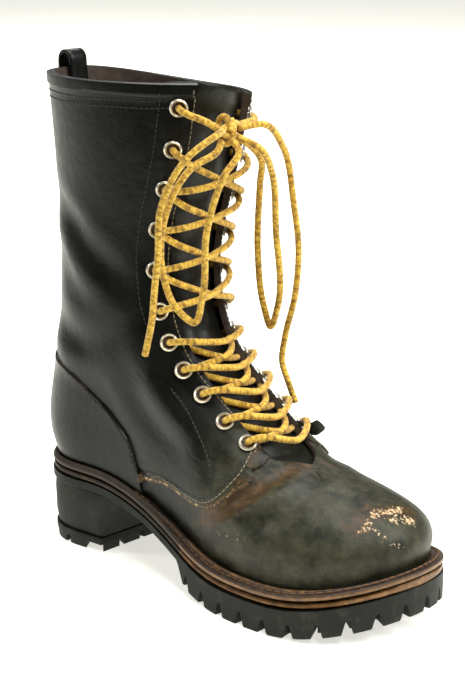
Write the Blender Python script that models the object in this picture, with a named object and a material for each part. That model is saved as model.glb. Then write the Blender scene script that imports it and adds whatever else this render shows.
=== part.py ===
"""Right logger boot, made as a bootmaker would: a leather upper on a welt, midsole, lugged outsole and heel.

+X points to the toe, +Y to the wearer's left (the inner side of this right boot), +Z up.
The origin is the middle of the heel's resting face on the floor.
"""

import math
from collections import namedtuple

import bmesh
import bpy
import numpy as np
from mathutils import Vector
from mathutils.geometry import delaunay_2d_cdt

# Driving dimensions, in metres
UPPER_LENGTH = 0.273
BALL_WIDTH = 0.104
ANKLE_WIDTH = 0.078
COLLAR_WIDTH = 0.092
SHAFT_RISE = 0.234
HEEL_SEAT_HEIGHT = 0.0485
BALL_HEIGHT = 0.0205
TOE_SPRING = 0.013
TOE_SWING = 0.003
COLLAR_DIP = 0.009
GAP = 0.0003

# Leather of the upper
WALL = 0.0024
QUARTER_STEP = 0.0016
COUNTER_STEP = 0.0012
COLLAR_STEP = 0.0010
THROAT_HALF_GAP = 0.0165
THROAT_TOP_HALF_GAP = 0.0200

# Sole layers
WELT_THICKNESS = 0.0036
WELT_BEAD = 0.0018
BEAD_CLEARANCE = 0.0016
BEAD_WIDTH = 0.0026
MIDSOLE_THICKNESS = 0.0045
OUTSOLE_THICKNESS = 0.0160
SHANK_THICKNESS = 0.0050
LUG_DEPTH = 0.0080
LUG_LENGTH = 0.0150
LUG_GAP = 0.0032
LUG_REACH = 0.0170
LUG_INSET = 0.0005
FORE_MARGIN = 0.0090
HEEL_MARGIN = 0.0065
INSOLE_THICKNESS = 0.0040
HEEL_LENGTH = 0.070
HEEL_UNDERCUT = 0.0015
BREAST_SLOPE = 0.0100
HEEL_TAPER = 0.93
HEEL_LIFT_THICKNESS = 0.0090

# Lacing
EYELET_PAIRS = 11
EYELET_LOW_PAIRS = 6
EYELET_LOW_PITCH = 0.0188
EYELET_SETBACK = 0.0066
EYELET_HOLE = 0.0034
EYELET_BARREL = 0.0025
EYELET_BORE = 0.0020
EYELET_FLANGE = 0.0047
EYELET_SEAT_GAP = 0.0007
EYELET_LIP = 0.0011
LACE_RADIUS = 0.0018
TONGUE_THICKNESS = 0.0022
TONGUE_GAP = 0.0009
TONGUE_HALF_WIDTH = 0.034
LOOP_WIDTH = 0.013
LOOP_THICKNESS = 0.0022
LOOP_STAND = 0.009
LOOP_TAB = 0.018
LOOP_OUTER_GAP = 0.0004
LOOP_INNER_GAP = 0.0022

# Where the origin lies in front of the upper's back
HEEL_CENTRE = 0.029

# The bow, hanging laces and their marks in metres
BAR_COUNT = 5
KNOT_PLACE = (0.1085, -0.0070, 0.2600)
KNOT_SIZE = (0.0055, 0.0080, 0.0075)
KNOT_GAP = 0.0006
Mark = namedtuple("Mark", "x y z")
HANGING_LACES = {
    "lace_loop_outer": (
        Mark(0.1125, -0.0160, 0.2510),
        Mark(0.1080, -0.0330, 0.2420),
        Mark(0.0920, -0.0400, 0.2050),
        Mark(0.0930, -0.0400, 0.1810),
        Mark(0.1010, -0.0380, 0.1640),
        Mark(0.1110, -0.0340, 0.1570),
        Mark(0.1130, -0.0300, 0.1710),
        Mark(0.1130, -0.0260, 0.2080),
        Mark(0.1180, -0.0170, 0.2380),
        Mark(0.1200, -0.0080, 0.2500),
    ),
    "lace_end_outer": (
        Mark(0.1170, -0.0200, 0.2605),
        Mark(0.1110, -0.0400, 0.2480),
        Mark(0.0980, -0.0470, 0.2190),
        Mark(0.0980, -0.0490, 0.1950),
        Mark(0.0960, -0.0500, 0.1760),
        Mark(0.0950, -0.0510, 0.1600),
        Mark(0.0900, -0.0520, 0.1380),
    ),
    "lace_loop_inner": (
        Mark(0.1125, 0.0095, 0.2500),
        Mark(0.1110, 0.0200, 0.2410),
        Mark(0.1040, 0.0270, 0.2250),
        Mark(0.0990, 0.0310, 0.1850),
        Mark(0.1020, 0.0330, 0.1530),
        Mark(0.1060, 0.0345, 0.1410),
        Mark(0.1110, 0.0350, 0.1540),
        Mark(0.1110, 0.0330, 0.1990),
        Mark(0.1180, 0.0210, 0.2350),
        Mark(0.1225, 0.0060, 0.2500),
    ),
    "lace_end_inner": (
        Mark(0.1180, 0.0140, 0.2620),
        Mark(0.1160, 0.0330, 0.2470),
        Mark(0.1150, 0.0440, 0.2120),
        Mark(0.1160, 0.0470, 0.1890),
        Mark(0.1130, 0.0480, 0.1590),
        Mark(0.1060, 0.0470, 0.1310),
        Mark(0.1050, 0.0460, 0.1180),
        Mark(0.1100, 0.0460, 0.1060),
        Mark(0.1150, 0.0470, 0.0940),
    ),
}

# How finely the upper and the sole are divided
COLUMNS = 48
ROWS = 20

LEATHER = ("black_leather", (0.030, 0.030, 0.026, 1.0), 0.50, 0.0)
RUBBER = ("black_rubber", (0.020, 0.020, 0.019, 1.0), 0.75, 0.0)
WELT_LEATHER = ("brown_welt_leather", (0.120, 0.050, 0.022, 1.0), 0.60, 0.0)
MIDSOLE_LEATHER = ("tan_midsole_leather", (0.260, 0.140, 0.055, 1.0), 0.65, 0.0)
LINING = ("insole_leather", (0.190, 0.120, 0.070, 1.0), 0.80, 0.0)
NICKEL = ("nickel", (0.750, 0.720, 0.640, 1.0), 0.25, 1.0)
LACE_CORD = ("yellow_lace", (0.560, 0.350, 0.060, 1.0), 0.85, 0.0)

# Side profile: front and back ends of each section of the upper, x as shares of the upper's length
# from its back, and rise above the welt as shares of the shaft's rise.
Section = namedtuple("Section", "front_x front_rise back_x back_rise")
SECTIONS = (
    Section(0.970, 0.000, 0.021, 0.000),
    Section(0.980, 0.033, 0.011, 0.028),
    Section(0.977, 0.067, 0.002, 0.058),
    Section(0.962, 0.104, 0.000, 0.088),
    Section(0.930, 0.144, 0.000, 0.118),
    Section(0.872, 0.178, 0.004, 0.152),
    Section(0.788, 0.210, 0.011, 0.186),
    Section(0.703, 0.240, 0.020, 0.225),
    Section(0.630, 0.293, 0.029, 0.272),
    Section(0.553, 0.356, 0.038, 0.327),
    Section(0.484, 0.410, 0.046, 0.396),
    Section(0.436, 0.479, 0.049, 0.490),
    Section(0.414, 0.594, 0.049, 0.601),
    Section(0.425, 0.727, 0.048, 0.716),
    Section(0.458, 0.877, 0.040, 0.844),
    Section(0.498, 1.089, 0.026, 0.994),
)

# Half widths of the foot before its ends are rounded, as shares of the ball's width
Plan = namedtuple("Plan", "along inner outer")
FOOT_PLAN = (
    Plan(0.00, 0.310, 0.310),
    Plan(0.12, 0.320, 0.315),
    Plan(0.25, 0.305, 0.300),
    Plan(0.38, 0.285, 0.315),
    Plan(0.50, 0.310, 0.370),
    Plan(0.60, 0.390, 0.440),
    Plan(0.70, 0.475, 0.485),
    Plan(0.80, 0.500, 0.485),
    Plan(0.90, 0.470, 0.450),
    Plan(1.00, 0.430, 0.415),
)

# How far in from the profile each stretch of the boot rounds over, as shares of the ball's width
Rounding = namedtuple("Rounding", "row front back")
ROUNDINGS = (
    Rounding(0.00, 0.470, 0.350),
    Rounding(0.20, 0.500, 0.350),
    Rounding(0.40, 0.380, 0.350),
    Rounding(0.60, 0.430, 0.400),
    Rounding(0.75, 0.560, 0.520),
    Rounding(1.00, 0.700, 0.680),
)
ROUND_POWER = 2.15

# Edge of the quarter over the vamp, seen from the side: x as shares of the length, rise of the shaft's
Seam = namedtuple("Seam", "along rise")
QUARTER_EDGE = (
    Seam(0.652, 0.233),
    Seam(0.628, 0.178),
    Seam(0.579, 0.127),
    Seam(0.527, 0.118),
    Seam(0.443, 0.106),
    Seam(0.377, 0.074),
)
COUNTER_EDGE = (
    Seam(0.352, 0.000),
    Seam(0.340, 0.073),
    Seam(0.319, 0.124),
    Seam(0.293, 0.148),
    Seam(0.253, 0.179),
    Seam(0.194, 0.214),
    Seam(0.143, 0.248),
    Seam(0.080, 0.266),
)
THROAT_ROW = 0.455
EYELET_FIRST_ROW = 0.503
EYELET_LAST_ROW = 0.9815
BAND_ROW = 0.9900


def smooth(low, high, value):
    """0 below low, 1 above high, and a smooth rise between."""
    t = np.clip((value - low) / (high - low), 0.0, 1.0)
    return t * t * (3.0 - 2.0 * t)


def along_table(table, column, position):
    """A smooth curve through one column of a table, read by the table's first column."""
    keys = np.array([row[0] for row in table])
    values = np.array([getattr(row, column) for row in table])
    return hermite(keys, values, position)


def hermite(keys, values, position):
    """Cubic through the values, straight beyond both ends."""
    slopes = np.gradient(values, keys)
    position = np.asarray(position, float)
    inside = np.clip(position, keys[0], keys[-1])
    k = np.clip(np.searchsorted(keys, inside, "right") - 1, 0, len(keys) - 2)
    width = keys[k + 1] - keys[k]
    u = (inside - keys[k]) / width
    value = (
        (2 * u**3 - 3 * u**2 + 1) * values[k]
        + (u**3 - 2 * u**2 + u) * width * slopes[k]
        + (3 * u**2 - 2 * u**3) * values[k + 1]
        + (u**3 - u**2) * width * slopes[k + 1]
    )
    beyond = np.where(position > keys[-1], slopes[-1], slopes[0])
    return value + (position - inside) * beyond


# The sole's line and the upper's surface

def sole_line(x):
    """Height of the midsole's top at x, measured from the upper's back."""
    share = x / UPPER_LENGTH
    drop = smooth(0.20, 0.64, share)
    spring = TOE_SPRING * np.clip((share - 0.74) / 0.26, 0.0, 1.2) ** 2
    return HEEL_SEAT_HEIGHT + (BALL_HEIGHT - HEEL_SEAT_HEIGHT) * drop + spring


def feather_line(x):
    """Height of the upper's lower edge, just above the welt."""
    return sole_line(x) + WELT_THICKNESS + GAP


def profile(row, end):
    """x and z of the front or back profile at a row from 0, the welt, to 1, the collar."""
    keys = np.linspace(0.0, 1.0, len(SECTIONS))
    x = UPPER_LENGTH * hermite(keys, np.array([getattr(s, end + "_x") for s in SECTIONS]), row)
    rise = hermite(keys, np.array([getattr(s, end + "_rise") for s in SECTIONS]), row)
    return x, feather_line(x) + SHAFT_RISE * rise


PROFILE_ROWS = np.linspace(-0.02, 1.04, 213)
FRONT_CURVE = np.stack(profile(PROFILE_ROWS, "front"), axis=1)
BACK_CURVE = np.stack(profile(PROFILE_ROWS, "back"), axis=1)


def rounding(x, z, curve, end):
    """1 well inside the profile, falling to 0 on it as a superellipse."""
    apart = np.hypot(x[:, None] - curve[None, :, 0], z[:, None] - curve[None, :, 1])
    nearest = np.argmin(apart, axis=1)
    distance = apart[np.arange(len(x)), nearest]
    # the distance to the stretches beside the nearest point makes it smooth
    for neighbour in (-1, 1):
        other = np.clip(nearest + neighbour, 0, len(curve) - 1)
        step = curve[other] - curve[nearest]
        length = np.maximum((step**2).sum(axis=1), 1e-12)
        out = np.stack([x, z], axis=1) - curve[nearest]
        u = np.clip((out * step).sum(axis=1) / length, 0.0, 1.0)
        distance = np.minimum(distance, np.hypot(*(out - u[:, None] * step).T))
    reach = BALL_WIDTH * along_table(ROUNDINGS, end, PROFILE_ROWS[nearest])
    inwards = 1.0 - np.clip(distance / reach, 0.0, 1.0)
    return (1.0 - inwards**ROUND_POWER) ** (1.0 / ROUND_POWER)


def half_width(x, z, inner):
    """Half width of the upper at a place in the side view, on the inner or the outer side."""
    share = np.clip(x / UPPER_LENGTH, 0.0, 1.0)
    foot = np.where(
        inner,
        along_table(FOOT_PLAN, "inner", share),
        along_table(FOOT_PLAN, "outer", share),
    ) * BALL_WIDTH
    rise = (z - feather_line(x)) / SHAFT_RISE
    leg = 0.5 * (ANKLE_WIDTH + (COLLAR_WIDTH - ANKLE_WIDTH) * smooth(0.45, 0.95, rise))
    lasted = 1.0 - 0.045 * np.exp(-np.clip(rise, 0.0, 1.0) / 0.03)
    width = (foot + (leg - foot) * smooth(0.12, 0.42, rise)) * lasted
    return width * rounding(x, z, FRONT_CURVE, "front") * rounding(x, z, BACK_CURVE, "back")


def skin(s, row):
    """Points of the upper's outside. s runs from the back (-1) over the front (0) to the back (1)."""
    s = np.atleast_1d(np.asarray(s, float))
    row = np.broadcast_to(np.asarray(row, float), s.shape)
    s = (s + 1.0) % 2.0 - 1.0
    along = 0.5 * (1.0 - np.cos(math.pi * np.abs(s)))
    front_x, front_z = profile(row, "front")
    back_x, back_z = profile(row, "back")
    x = front_x + (back_x - front_x) * along
    chord = front_z + (back_z - front_z) * along
    lift = (front_z - feather_line(front_x)) * (1.0 - along) + (back_z - feather_line(back_x)) * along
    z = feather_line(x) + lift
    z = z + (chord - z) * smooth(0.0, 0.45, row)
    swing = TOE_SWING * smooth(0.5, 1.0, x / UPPER_LENGTH)
    y = swing + np.sign(s) * half_width(x, z, s > 0)
    inner_side = smooth(-0.16, 0.16, s) * (1.0 - smooth(0.45, 1.0, s))
    z = z - COLLAR_DIP * smooth(0.55, 1.0, row) * inner_side
    return np.stack([x - HEEL_CENTRE, y, z], axis=1)


STEP = 2e-3


def tangents(s, row):
    """Directions of growing s and growing row on the upper's outside, in metres per unit."""
    s = np.atleast_1d(np.asarray(s, float))
    row = np.broadcast_to(np.asarray(row, float), s.shape)
    around = (skin(s + STEP, row) - skin(s - STEP, row)) / (2 * STEP)
    low = np.clip(row - STEP, 0.0, None)
    up = (skin(s, row + STEP) - skin(s, low)) / (row + STEP - low)[:, None]
    return around, up


def normals(s, row):
    """Directions out of the surface, level along the feather so that the wall's edge lies flat."""
    around, up = tangents(s, row)
    out = np.cross(around, up)
    out[:, 2] *= smooth(0.0, 0.03, row)
    return out / np.linalg.norm(out, axis=1)[:, None]


def shell(s, row, offset):
    """The upper's outside moved out by offset, or in where it is negative."""
    return skin(s, row) + normals(s, row) * np.reshape(offset, (-1, 1))


def s_at_half_width(row, reach, side):
    """s where the upper at this row is reach to one side of its front line."""
    low, high = 0.0, 0.5
    centre = skin(0.0, row)[0]
    for _ in range(18):
        middle = 0.5 * (low + high)
        point = skin(middle * side, row)[0]
        if abs(point[1] - centre[1]) < reach:
            low = middle
        else:
            high = middle
    return side * 0.5 * (low + high)


def place_in_side_view(x, z, side):
    """(s, row) of the skin's point at x, z on one side, by bisection on the sections' chords."""
    low, high = 0.0, 1.0
    for _ in range(20):
        row = 0.5 * (low + high)
        front_x, _ = profile(row, "front")
        back_x, _ = profile(row, "back")
        along = float(np.clip((x - front_x) / (back_x - front_x), 0.0, 1.0))
        s = math.acos(1.0 - 2.0 * along) / math.pi
        if skin(side * s, row)[0][2] < z:
            low = row
        else:
            high = row
    return side * s, row


def seam_in_domain(seam, side):
    """A seam's rows as (s, row) points on one side of the upper."""
    points = []
    for mark in seam:
        x = mark.along * UPPER_LENGTH
        z = float(feather_line(x)) + mark.rise * SHAFT_RISE
        points.append(place_in_side_view(x, z, side))
    return points


def throat_half_gap(row):
    share = np.clip((row - THROAT_ROW) / (1.0 - THROAT_ROW), 0.0, 1.0)
    return THROAT_HALF_GAP + (THROAT_TOP_HALF_GAP - THROAT_HALF_GAP) * share


def throat_outline():
    """Points of the throat's edge from the collar on the outer side, round its foot, to the inner side."""
    rows = np.append(np.linspace(1.0, THROAT_ROW + 0.03, 13), BAND_ROW)
    rows = np.sort(rows)[::-1]
    edge = [(s_at_half_width(r, throat_half_gap(r), 1.0), r) for r in rows]
    foot = []
    for angle in np.radians((22.0, 55.0)):
        reach = THROAT_HALF_GAP * math.cos(angle)
        row = THROAT_ROW + 0.03 * (1.0 - math.sin(angle))
        foot.append((s_at_half_width(row, reach, 1.0), row))
    half = edge + foot
    return half + [(0.0, THROAT_ROW)] + [(-s, r) for s, r in reversed(half)]


def eyelet_rows():
    """Rows of the eyelet pairs along the front line, closer together below the ankle."""
    rows = np.linspace(EYELET_FIRST_ROW, EYELET_LAST_ROW, 60)
    x, z = profile(rows, "front")
    length = np.concatenate([[0.0], np.cumsum(np.hypot(np.diff(x), np.diff(z)))])
    low = EYELET_LOW_PITCH * np.arange(EYELET_LOW_PAIRS)
    high = np.linspace(low[-1], length[-1], EYELET_PAIRS - EYELET_LOW_PAIRS + 1)
    return np.interp(np.concatenate([low, high[1:]]), length, rows)


def eyelet_places():
    """(name, s, row) of each eyelet, from the lowest pair up; outer side first."""
    found = []
    for number, row in enumerate(eyelet_rows(), start=1):
        reach = float(throat_half_gap(row)) + EYELET_SETBACK
        for label, side in (("outer", -1.0), ("inner", 1.0)):
            found.append((f"eyelet_{label}_{number:02d}", s_at_half_width(row, reach, side), row))
    return found


def hole_in_domain(s, row, radius, sides):
    """A round hole of the upper as a loop of (s, row) points."""
    around, up = tangents(s, row)
    u = around[0] / np.linalg.norm(around[0])
    v = np.cross(normals(s, row)[0], u)
    frame = np.array([[around[0] @ u, up[0] @ u], [around[0] @ v, up[0] @ v]])
    loop = []
    for angle in np.linspace(0.0, 2 * math.pi, sides, endpoint=False):
        step = np.linalg.solve(frame, radius * np.array([math.cos(angle), math.sin(angle)]))
        loop.append((s + step[0], row + step[1]))
    return loop


def inside_loop(points, loop):
    """Which points lie inside a closed loop, by crossings."""
    inside = np.zeros(len(points), bool)
    for (ax, ay), (bx, by) in zip(loop, loop[1:] + loop[:1]):
        crosses = (ay > points[:, 1]) != (by > points[:, 1])
        at = ax + (points[:, 1] - ay) / (by - ay if by != ay else 1e-12) * (bx - ax)
        inside ^= crosses & (points[:, 0] < at)
    return inside


# Making objects

def new_object(name, finish, verts, faces, smooth_angle=35.0):
    mesh = bpy.data.meshes.new(name)
    mesh.from_pydata([tuple(v) for v in verts], [], [tuple(f) for f in faces])
    mesh.validate()
    mesh.shade_smooth()
    mesh.set_sharp_from_angle(angle=math.radians(smooth_angle))
    obj = bpy.data.objects.new(name, mesh)
    bpy.context.scene.collection.objects.link(obj)
    obj.data.materials.append(material(finish))
    return obj


def material(finish):
    name, colour, roughness, metallic = finish
    found = bpy.data.materials.get(name)
    if found:
        return found
    made = bpy.data.materials.new(name)
    made.use_nodes = True
    shader = made.node_tree.nodes["Principled BSDF"]
    shader.inputs["Base Color"].default_value = colour
    shader.inputs["Roughness"].default_value = roughness
    shader.inputs["Metallic"].default_value = metallic
    return made


def face_outwards(obj):
    mesh = bmesh.new()
    mesh.from_mesh(obj.data)
    bmesh.ops.recalc_face_normals(mesh, faces=mesh.faces)
    if mesh.calc_volume(signed=True) < 0:
        bmesh.ops.reverse_faces(mesh, faces=mesh.faces)
    mesh.to_mesh(obj.data)
    mesh.free()


def combine(obj, cutter, operation, crowded=False):
    """Applies a Boolean with another object and removes that object. A crowded one has blocks that may meet."""
    modifier = obj.modifiers.new(operation, "BOOLEAN")
    modifier.operation = operation
    modifier.object = cutter
    modifier.use_self = crowded
    graph = bpy.context.evaluated_depsgraph_get()
    mesh = bpy.data.meshes.new_from_object(obj.evaluated_get(graph))
    obj.modifiers.clear()
    obj.data = mesh
    bpy.data.objects.remove(cutter)


# Upper

def upper_regions(points, seams):
    """Step of the wall's outside over the vamp for each place of the domain."""
    raised = np.zeros(len(points))
    for quarter, counter in seams:
        raised[inside_loop(points, quarter)] = QUARTER_STEP
        raised[inside_loop(points, counter)] = QUARTER_STEP + COUNTER_STEP
    band = (points[:, 1] > BAND_ROW) & (raised == QUARTER_STEP)
    raised[band] = QUARTER_STEP + COLLAR_STEP
    return raised


def domain_lines():
    """The lines that the upper's domain is divided by, and the loops of its panels and holes."""
    throat = throat_outline()
    lines = [throat]
    seams = []
    for side in (1.0, -1.0):
        quarter = seam_in_domain(QUARTER_EDGE, side)
        start = throat[13] if side > 0 else throat[-14]
        start_row = start[1]
        counter = seam_in_domain(COUNTER_EDGE, side)
        counter[0] = (counter[0][0], 0.0)
        counter.append((side, round(counter[-1][1], 6)))
        quarter = [start] + quarter
        lines += [quarter, counter]
        rim = next(point for point in throat if point[0] * side > 0 and point[1] == BAND_ROW)
        lines.append([rim, (side, BAND_ROW)])
        corner = (side, 1.2)
        quarter_loop = quarter + [(side, quarter[-1][1]), corner, (0.0, 1.2), (0.0, start_row)]
        counter_loop = counter + [(side, -0.1), (counter[0][0], -0.1)]
        seams.append((quarter_loop, counter_loop))
    return lines, throat, seams


def divided(line):
    """The line with points added so that no stretch is longer than a column or a row."""
    points = [line[0]]
    for (s0, r0), (s1, r1) in zip(line, line[1:]):
        count = math.ceil(max(abs(s1 - s0) * COLUMNS / 2, abs(r1 - r0) * ROWS, 1.0) - 1e-6)
        points += [(s0 + (s1 - s0) * k / count, r0 + (r1 - r0) * k / count) for k in range(1, count + 1)]
    return points


def upper_triangles():
    """The domain's points and triangles, with the outside's step for each triangle."""
    lines, throat, seams = domain_lines()
    holes = [hole_in_domain(s, row, EYELET_HOLE, 8) for _, s, row in eyelet_places()]
    columns = np.linspace(-1.0, 1.0, COLUMNS + 1)
    rows = np.linspace(0.0, 1.0, ROWS + 1)
    border_rows = sorted({round(float(r), 6) for r in rows}
                         | {round(line[-1][1], 6) for line in lines if abs(line[-1][0]) == 1.0}
                         | {BAND_ROW})
    rim = throat[0][0]
    top = [c for c in columns if abs(c) > abs(rim) + 0.02]
    outline = [(c, 0.0) for c in columns]
    outline += [(1.0, r) for r in border_rows[1:]]
    outline += [(c, 1.0) for c in reversed(top) if 0 < c < 1.0]
    outline += throat
    outline += [(c, 1.0) for c in reversed(top) if -1.0 < c < 0]
    outline += [(-1.0, r) for r in reversed(border_rows[1:])]
    points = []
    edges = []

    def add_line(line, closed=False):
        first = len(points)
        points.extend(line)
        edges.extend((first + i, first + i + 1) for i in range(len(line) - 1))
        if closed:
            edges.append((first + len(line) - 1, first))

    add_line(outline, closed=True)
    for line in lines[1:]:
        add_line(divided(line))
    for hole in holes:
        add_line(hole, closed=True)
    fixed = np.array(points)
    near_s, near_row = 0.5 * (columns[1] - columns[0]), 0.5 * (rows[1] - rows[0])
    for c in columns[1:-1]:
        for r in rows[1:-1]:
            apart = np.hypot((fixed[:, 0] - c) / near_s, (fixed[:, 1] - r) / near_row)
            if apart.min() > 1.0 and not inside_loop(np.array([(c, r)]), throat + [(0.0, 1.3)])[0]:
                points.append((float(c), float(r)))
    coords, _, faces, *_ = delaunay_2d_cdt([Vector(p) for p in points], edges, [], 0, 1e-7)
    coords = np.array([tuple(c) for c in coords])
    faces = np.array([tuple(f) for f in faces])
    centres = coords[faces].mean(axis=1)
    keep = inside_loop(centres, outline)
    for hole in holes:
        keep &= ~inside_loop(centres, hole)
    faces, centres = faces[keep], centres[keep]
    return coords, faces, upper_regions(centres, seams)


def build_upper():
    """One wall from the welt to the collar, open below, at the throat and at the collar."""
    coords, faces, raised = upper_triangles()
    left_at = {round(r, 5): i for i, (s, r) in enumerate(coords) if abs(s + 1.0) < 1e-6}
    same = [left_at.get(round(r, 5), i) if abs(s - 1.0) < 1e-6 else i for i, (s, r) in enumerate(coords)]
    faces = np.array(same)[faces]
    levels = {}
    for face, step in zip(faces, raised):
        for corner in face:
            levels.setdefault(int(corner), set()).update((float(step), -WALL))
    index = {}
    verts = []
    base = skin(coords[:, 0], coords[:, 1])
    out = normals(coords[:, 0], coords[:, 1])
    for corner, steps in levels.items():
        for step in sorted(steps):
            index[corner, step] = len(verts)
            verts.append(base[corner] + out[corner] * step)
    made = []
    sides = {}
    for face, step in zip(faces.tolist(), raised):
        made.append([index[c, float(step)] for c in face])
        made.append([index[c, -WALL] for c in reversed(face)])
        for a, b in zip(face, face[1:] + face[:1]):
            sides.setdefault((min(a, b), max(a, b)), []).append((a, b, float(step)))

    def riser(a, b, low, high):
        """Wall over the edge a-b between two levels, with any level between them."""
        up_a = [index[a, step] for step in sorted(levels[a]) if low <= step <= high]
        up_b = [index[b, step] for step in sorted(levels[b]) if low <= step <= high]
        return up_b + up_a[::-1]

    for found in sides.values():
        if len(found) == 1:
            a, b, step = found[0]
            made.append(riser(b, a, -WALL, step))
        elif found[0][2] != found[1][2]:
            a, b, step = max(found, key=lambda side: side[2])
            made.append(riser(b, a, min(f[2] for f in found), step))
    obj = new_object("upper", LEATHER, verts, made)
    face_outwards(obj)
    return obj


# Sole

def sole_ring(margin_share=1.0, inset=0.0):
    """Plan outline below the upper: the feather line moved out by the welt's margin, or in."""
    s = np.linspace(-1.0, 1.0, COLUMNS, endpoint=False)
    flat = skin(s, 0.0)[:, :2]
    ahead = skin(s + STEP, 0.0)[:, :2]
    behind = skin(s - STEP, 0.0)[:, :2]
    direction = ahead - behind
    out = np.stack([direction[:, 1], -direction[:, 0]], axis=1)
    out /= np.linalg.norm(out, axis=1)[:, None]
    if (out[0] @ np.array([1.0, 0.0])) > 0:
        out = -out
    share = (flat[:, 0] + HEEL_CENTRE) / UPPER_LENGTH
    margin = HEEL_MARGIN + (FORE_MARGIN - HEEL_MARGIN) * smooth(0.36, 0.60, share)
    return flat + out * (margin * margin_share - inset)[:, None]


def ring_shares():
    """Places of the sole's columns along the upper's length, from 0 at the back to 1."""
    s = np.linspace(-1.0, 1.0, COLUMNS, endpoint=False)
    return (skin(s, 0.0)[:, 0] + HEEL_CENTRE) / UPPER_LENGTH


def line_at(points, drop):
    """Heights on the sole's line less a drop for plan points."""
    return sole_line(points[:, 0] + HEEL_CENTRE) - drop


def ladder(ring, flip):
    """Faces that cap a ring whose columns i and n-i face each other."""
    n = len(ring)
    faces = [[ring[0], ring[1], ring[n - 1]]]
    i = 1
    while i + 1 < n - i - 1:
        faces.append([ring[i], ring[i + 1], ring[n - i - 1], ring[n - i]])
        i += 1
    if i + 1 == n - i - 1:
        faces.append([ring[i], ring[i + 1], ring[n - i]])
    return [face[::-1] for face in faces] if flip else faces


def plate(name, finish, outline, low, high):
    """Closed plate between two heights over one outline, or a lower outline and an upper one."""
    lower, upper = outline if isinstance(outline, tuple) else (outline, outline)
    n = len(lower)
    verts = np.concatenate([np.column_stack([lower, low]), np.column_stack([upper, high])])
    faces = ladder(list(range(n)), True) + ladder(list(range(n, 2 * n)), False)
    faces += [[i, (i + 1) % n, n + (i + 1) % n, n + i] for i in range(n)]
    obj = new_object(name, finish, verts, faces)
    face_outwards(obj)
    return obj


def build_welt():
    """Ring that carries the upper's edge, with a bead standing at the upper's foot."""
    outer = sole_ring()
    behind = 1.0 - smooth(COUNTER_EDGE[0].along, COUNTER_EDGE[0].along + 0.08, ring_shares())
    clearance = BEAD_CLEARANCE + (QUARTER_STEP + COUNTER_STEP - BEAD_CLEARANCE + 2 * GAP) * behind
    bead_out = sole_ring(0.0, inset=-(clearance + BEAD_WIDTH))
    bead_in = sole_ring(0.0, inset=-clearance)
    inner = sole_ring(0.0, inset=WALL + 0.004)
    step = GAP
    rings = (
        (outer, WELT_THICKNESS * 0.05 + step),
        (outer, WELT_THICKNESS * 0.80 + step),
        (sole_ring(1.0, inset=0.0008), WELT_THICKNESS + step),
        (bead_out, WELT_THICKNESS + step),
        ((bead_out + bead_in) / 2, WELT_THICKNESS + WELT_BEAD),
        (bead_in, WELT_THICKNESS + WELT_BEAD * 0.6),
        (sole_ring(0.0, inset=GAP - clearance), WELT_THICKNESS),
        (inner, WELT_THICKNESS),
        (inner, step),
    )
    n = COLUMNS
    verts = np.concatenate([np.column_stack([ring, line_at(ring, -rise)]) for ring, rise in rings])
    faces = []
    for k in range(len(rings)):
        nxt = (k + 1) % len(rings)
        for i in range(n):
            j = (i + 1) % n
            faces.append([k * n + i, k * n + j, nxt * n + j, nxt * n + i])
    obj = new_object("welt", WELT_LEATHER, verts, faces)
    face_outwards(obj)
    return obj


def build_midsole():
    ring = sole_ring(1.0, inset=0.0003)
    low = line_at(ring, MIDSOLE_THICKNESS)
    return plate("midsole", MIDSOLE_LEATHER, ring, low, line_at(ring, 0.0))


def build_insole():
    """Board inside the welt that the foot rests on; it fills the upper's lower opening."""
    lower = sole_ring(0.0, inset=WALL + 0.004 + GAP)
    return plate("insole", LINING, lower, line_at(lower, -GAP), line_at(lower, -GAP - INSOLE_THICKNESS))


def lengths_along(line):
    """Length of the line up to each of its points."""
    return np.concatenate([[0.0], np.cumsum(np.hypot(*np.diff(line, axis=0).T))])


def places_along(line, length, at):
    """Points of a line at some lengths along it."""
    return np.stack([np.interp(at, length, line[:, k]) for k in (0, 1)], axis=1)


def lug_block(outer, inner, floor, root):
    """Verts and faces of one tread block between an outer and an inner edge, from root down to floor."""
    ring = np.concatenate([outer, inner[::-1]])
    centre = ring.mean(axis=0)
    foot = centre + (ring - centre) * 0.94
    n = len(ring)
    verts = np.concatenate([np.column_stack([foot, floor(foot)]), np.column_stack([ring, root(ring)])])
    faces = [list(range(n))[::-1], list(range(n, 2 * n))]
    faces += [[i, (i + 1) % n, n + (i + 1) % n, n + i] for i in range(n)]
    return verts, faces


def fore_floor(points):
    return line_at(points, MIDSOLE_THICKNESS + OUTSOLE_THICKNESS)


def fore_root(points):
    return line_at(points, MIDSOLE_THICKNESS + OUTSOLE_THICKNESS - LUG_DEPTH - 0.004)


def fore_lugs():
    """Blocks round the forepart and across its middle."""
    rim = sole_ring(1.0, inset=LUG_INSET)
    inner_rim = sole_ring(1.0, inset=LUG_REACH)
    length = lengths_along(rim)
    ahead = rim[:, 0] > fore_edge()
    first = length[ahead].min()
    last = length[ahead].max()
    count = round((last - first) / (LUG_LENGTH + LUG_GAP))
    pitch = (last - first) / count
    blocks = []
    for k in range(count):
        at = np.linspace(first + k * pitch + LUG_GAP / 2, first + (k + 1) * pitch - LUG_GAP / 2, 4)
        outer = places_along(rim, length, at)
        inner = places_along(inner_rim, length, at[[0, -1]])
        blocks.append(lug_block(outer, inner, fore_floor, fore_root))
    return blocks


def fore_edge():
    """x where the forepart's tread begins, in front of the arch."""
    return 0.515 * UPPER_LENGTH - HEEL_CENTRE


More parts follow.
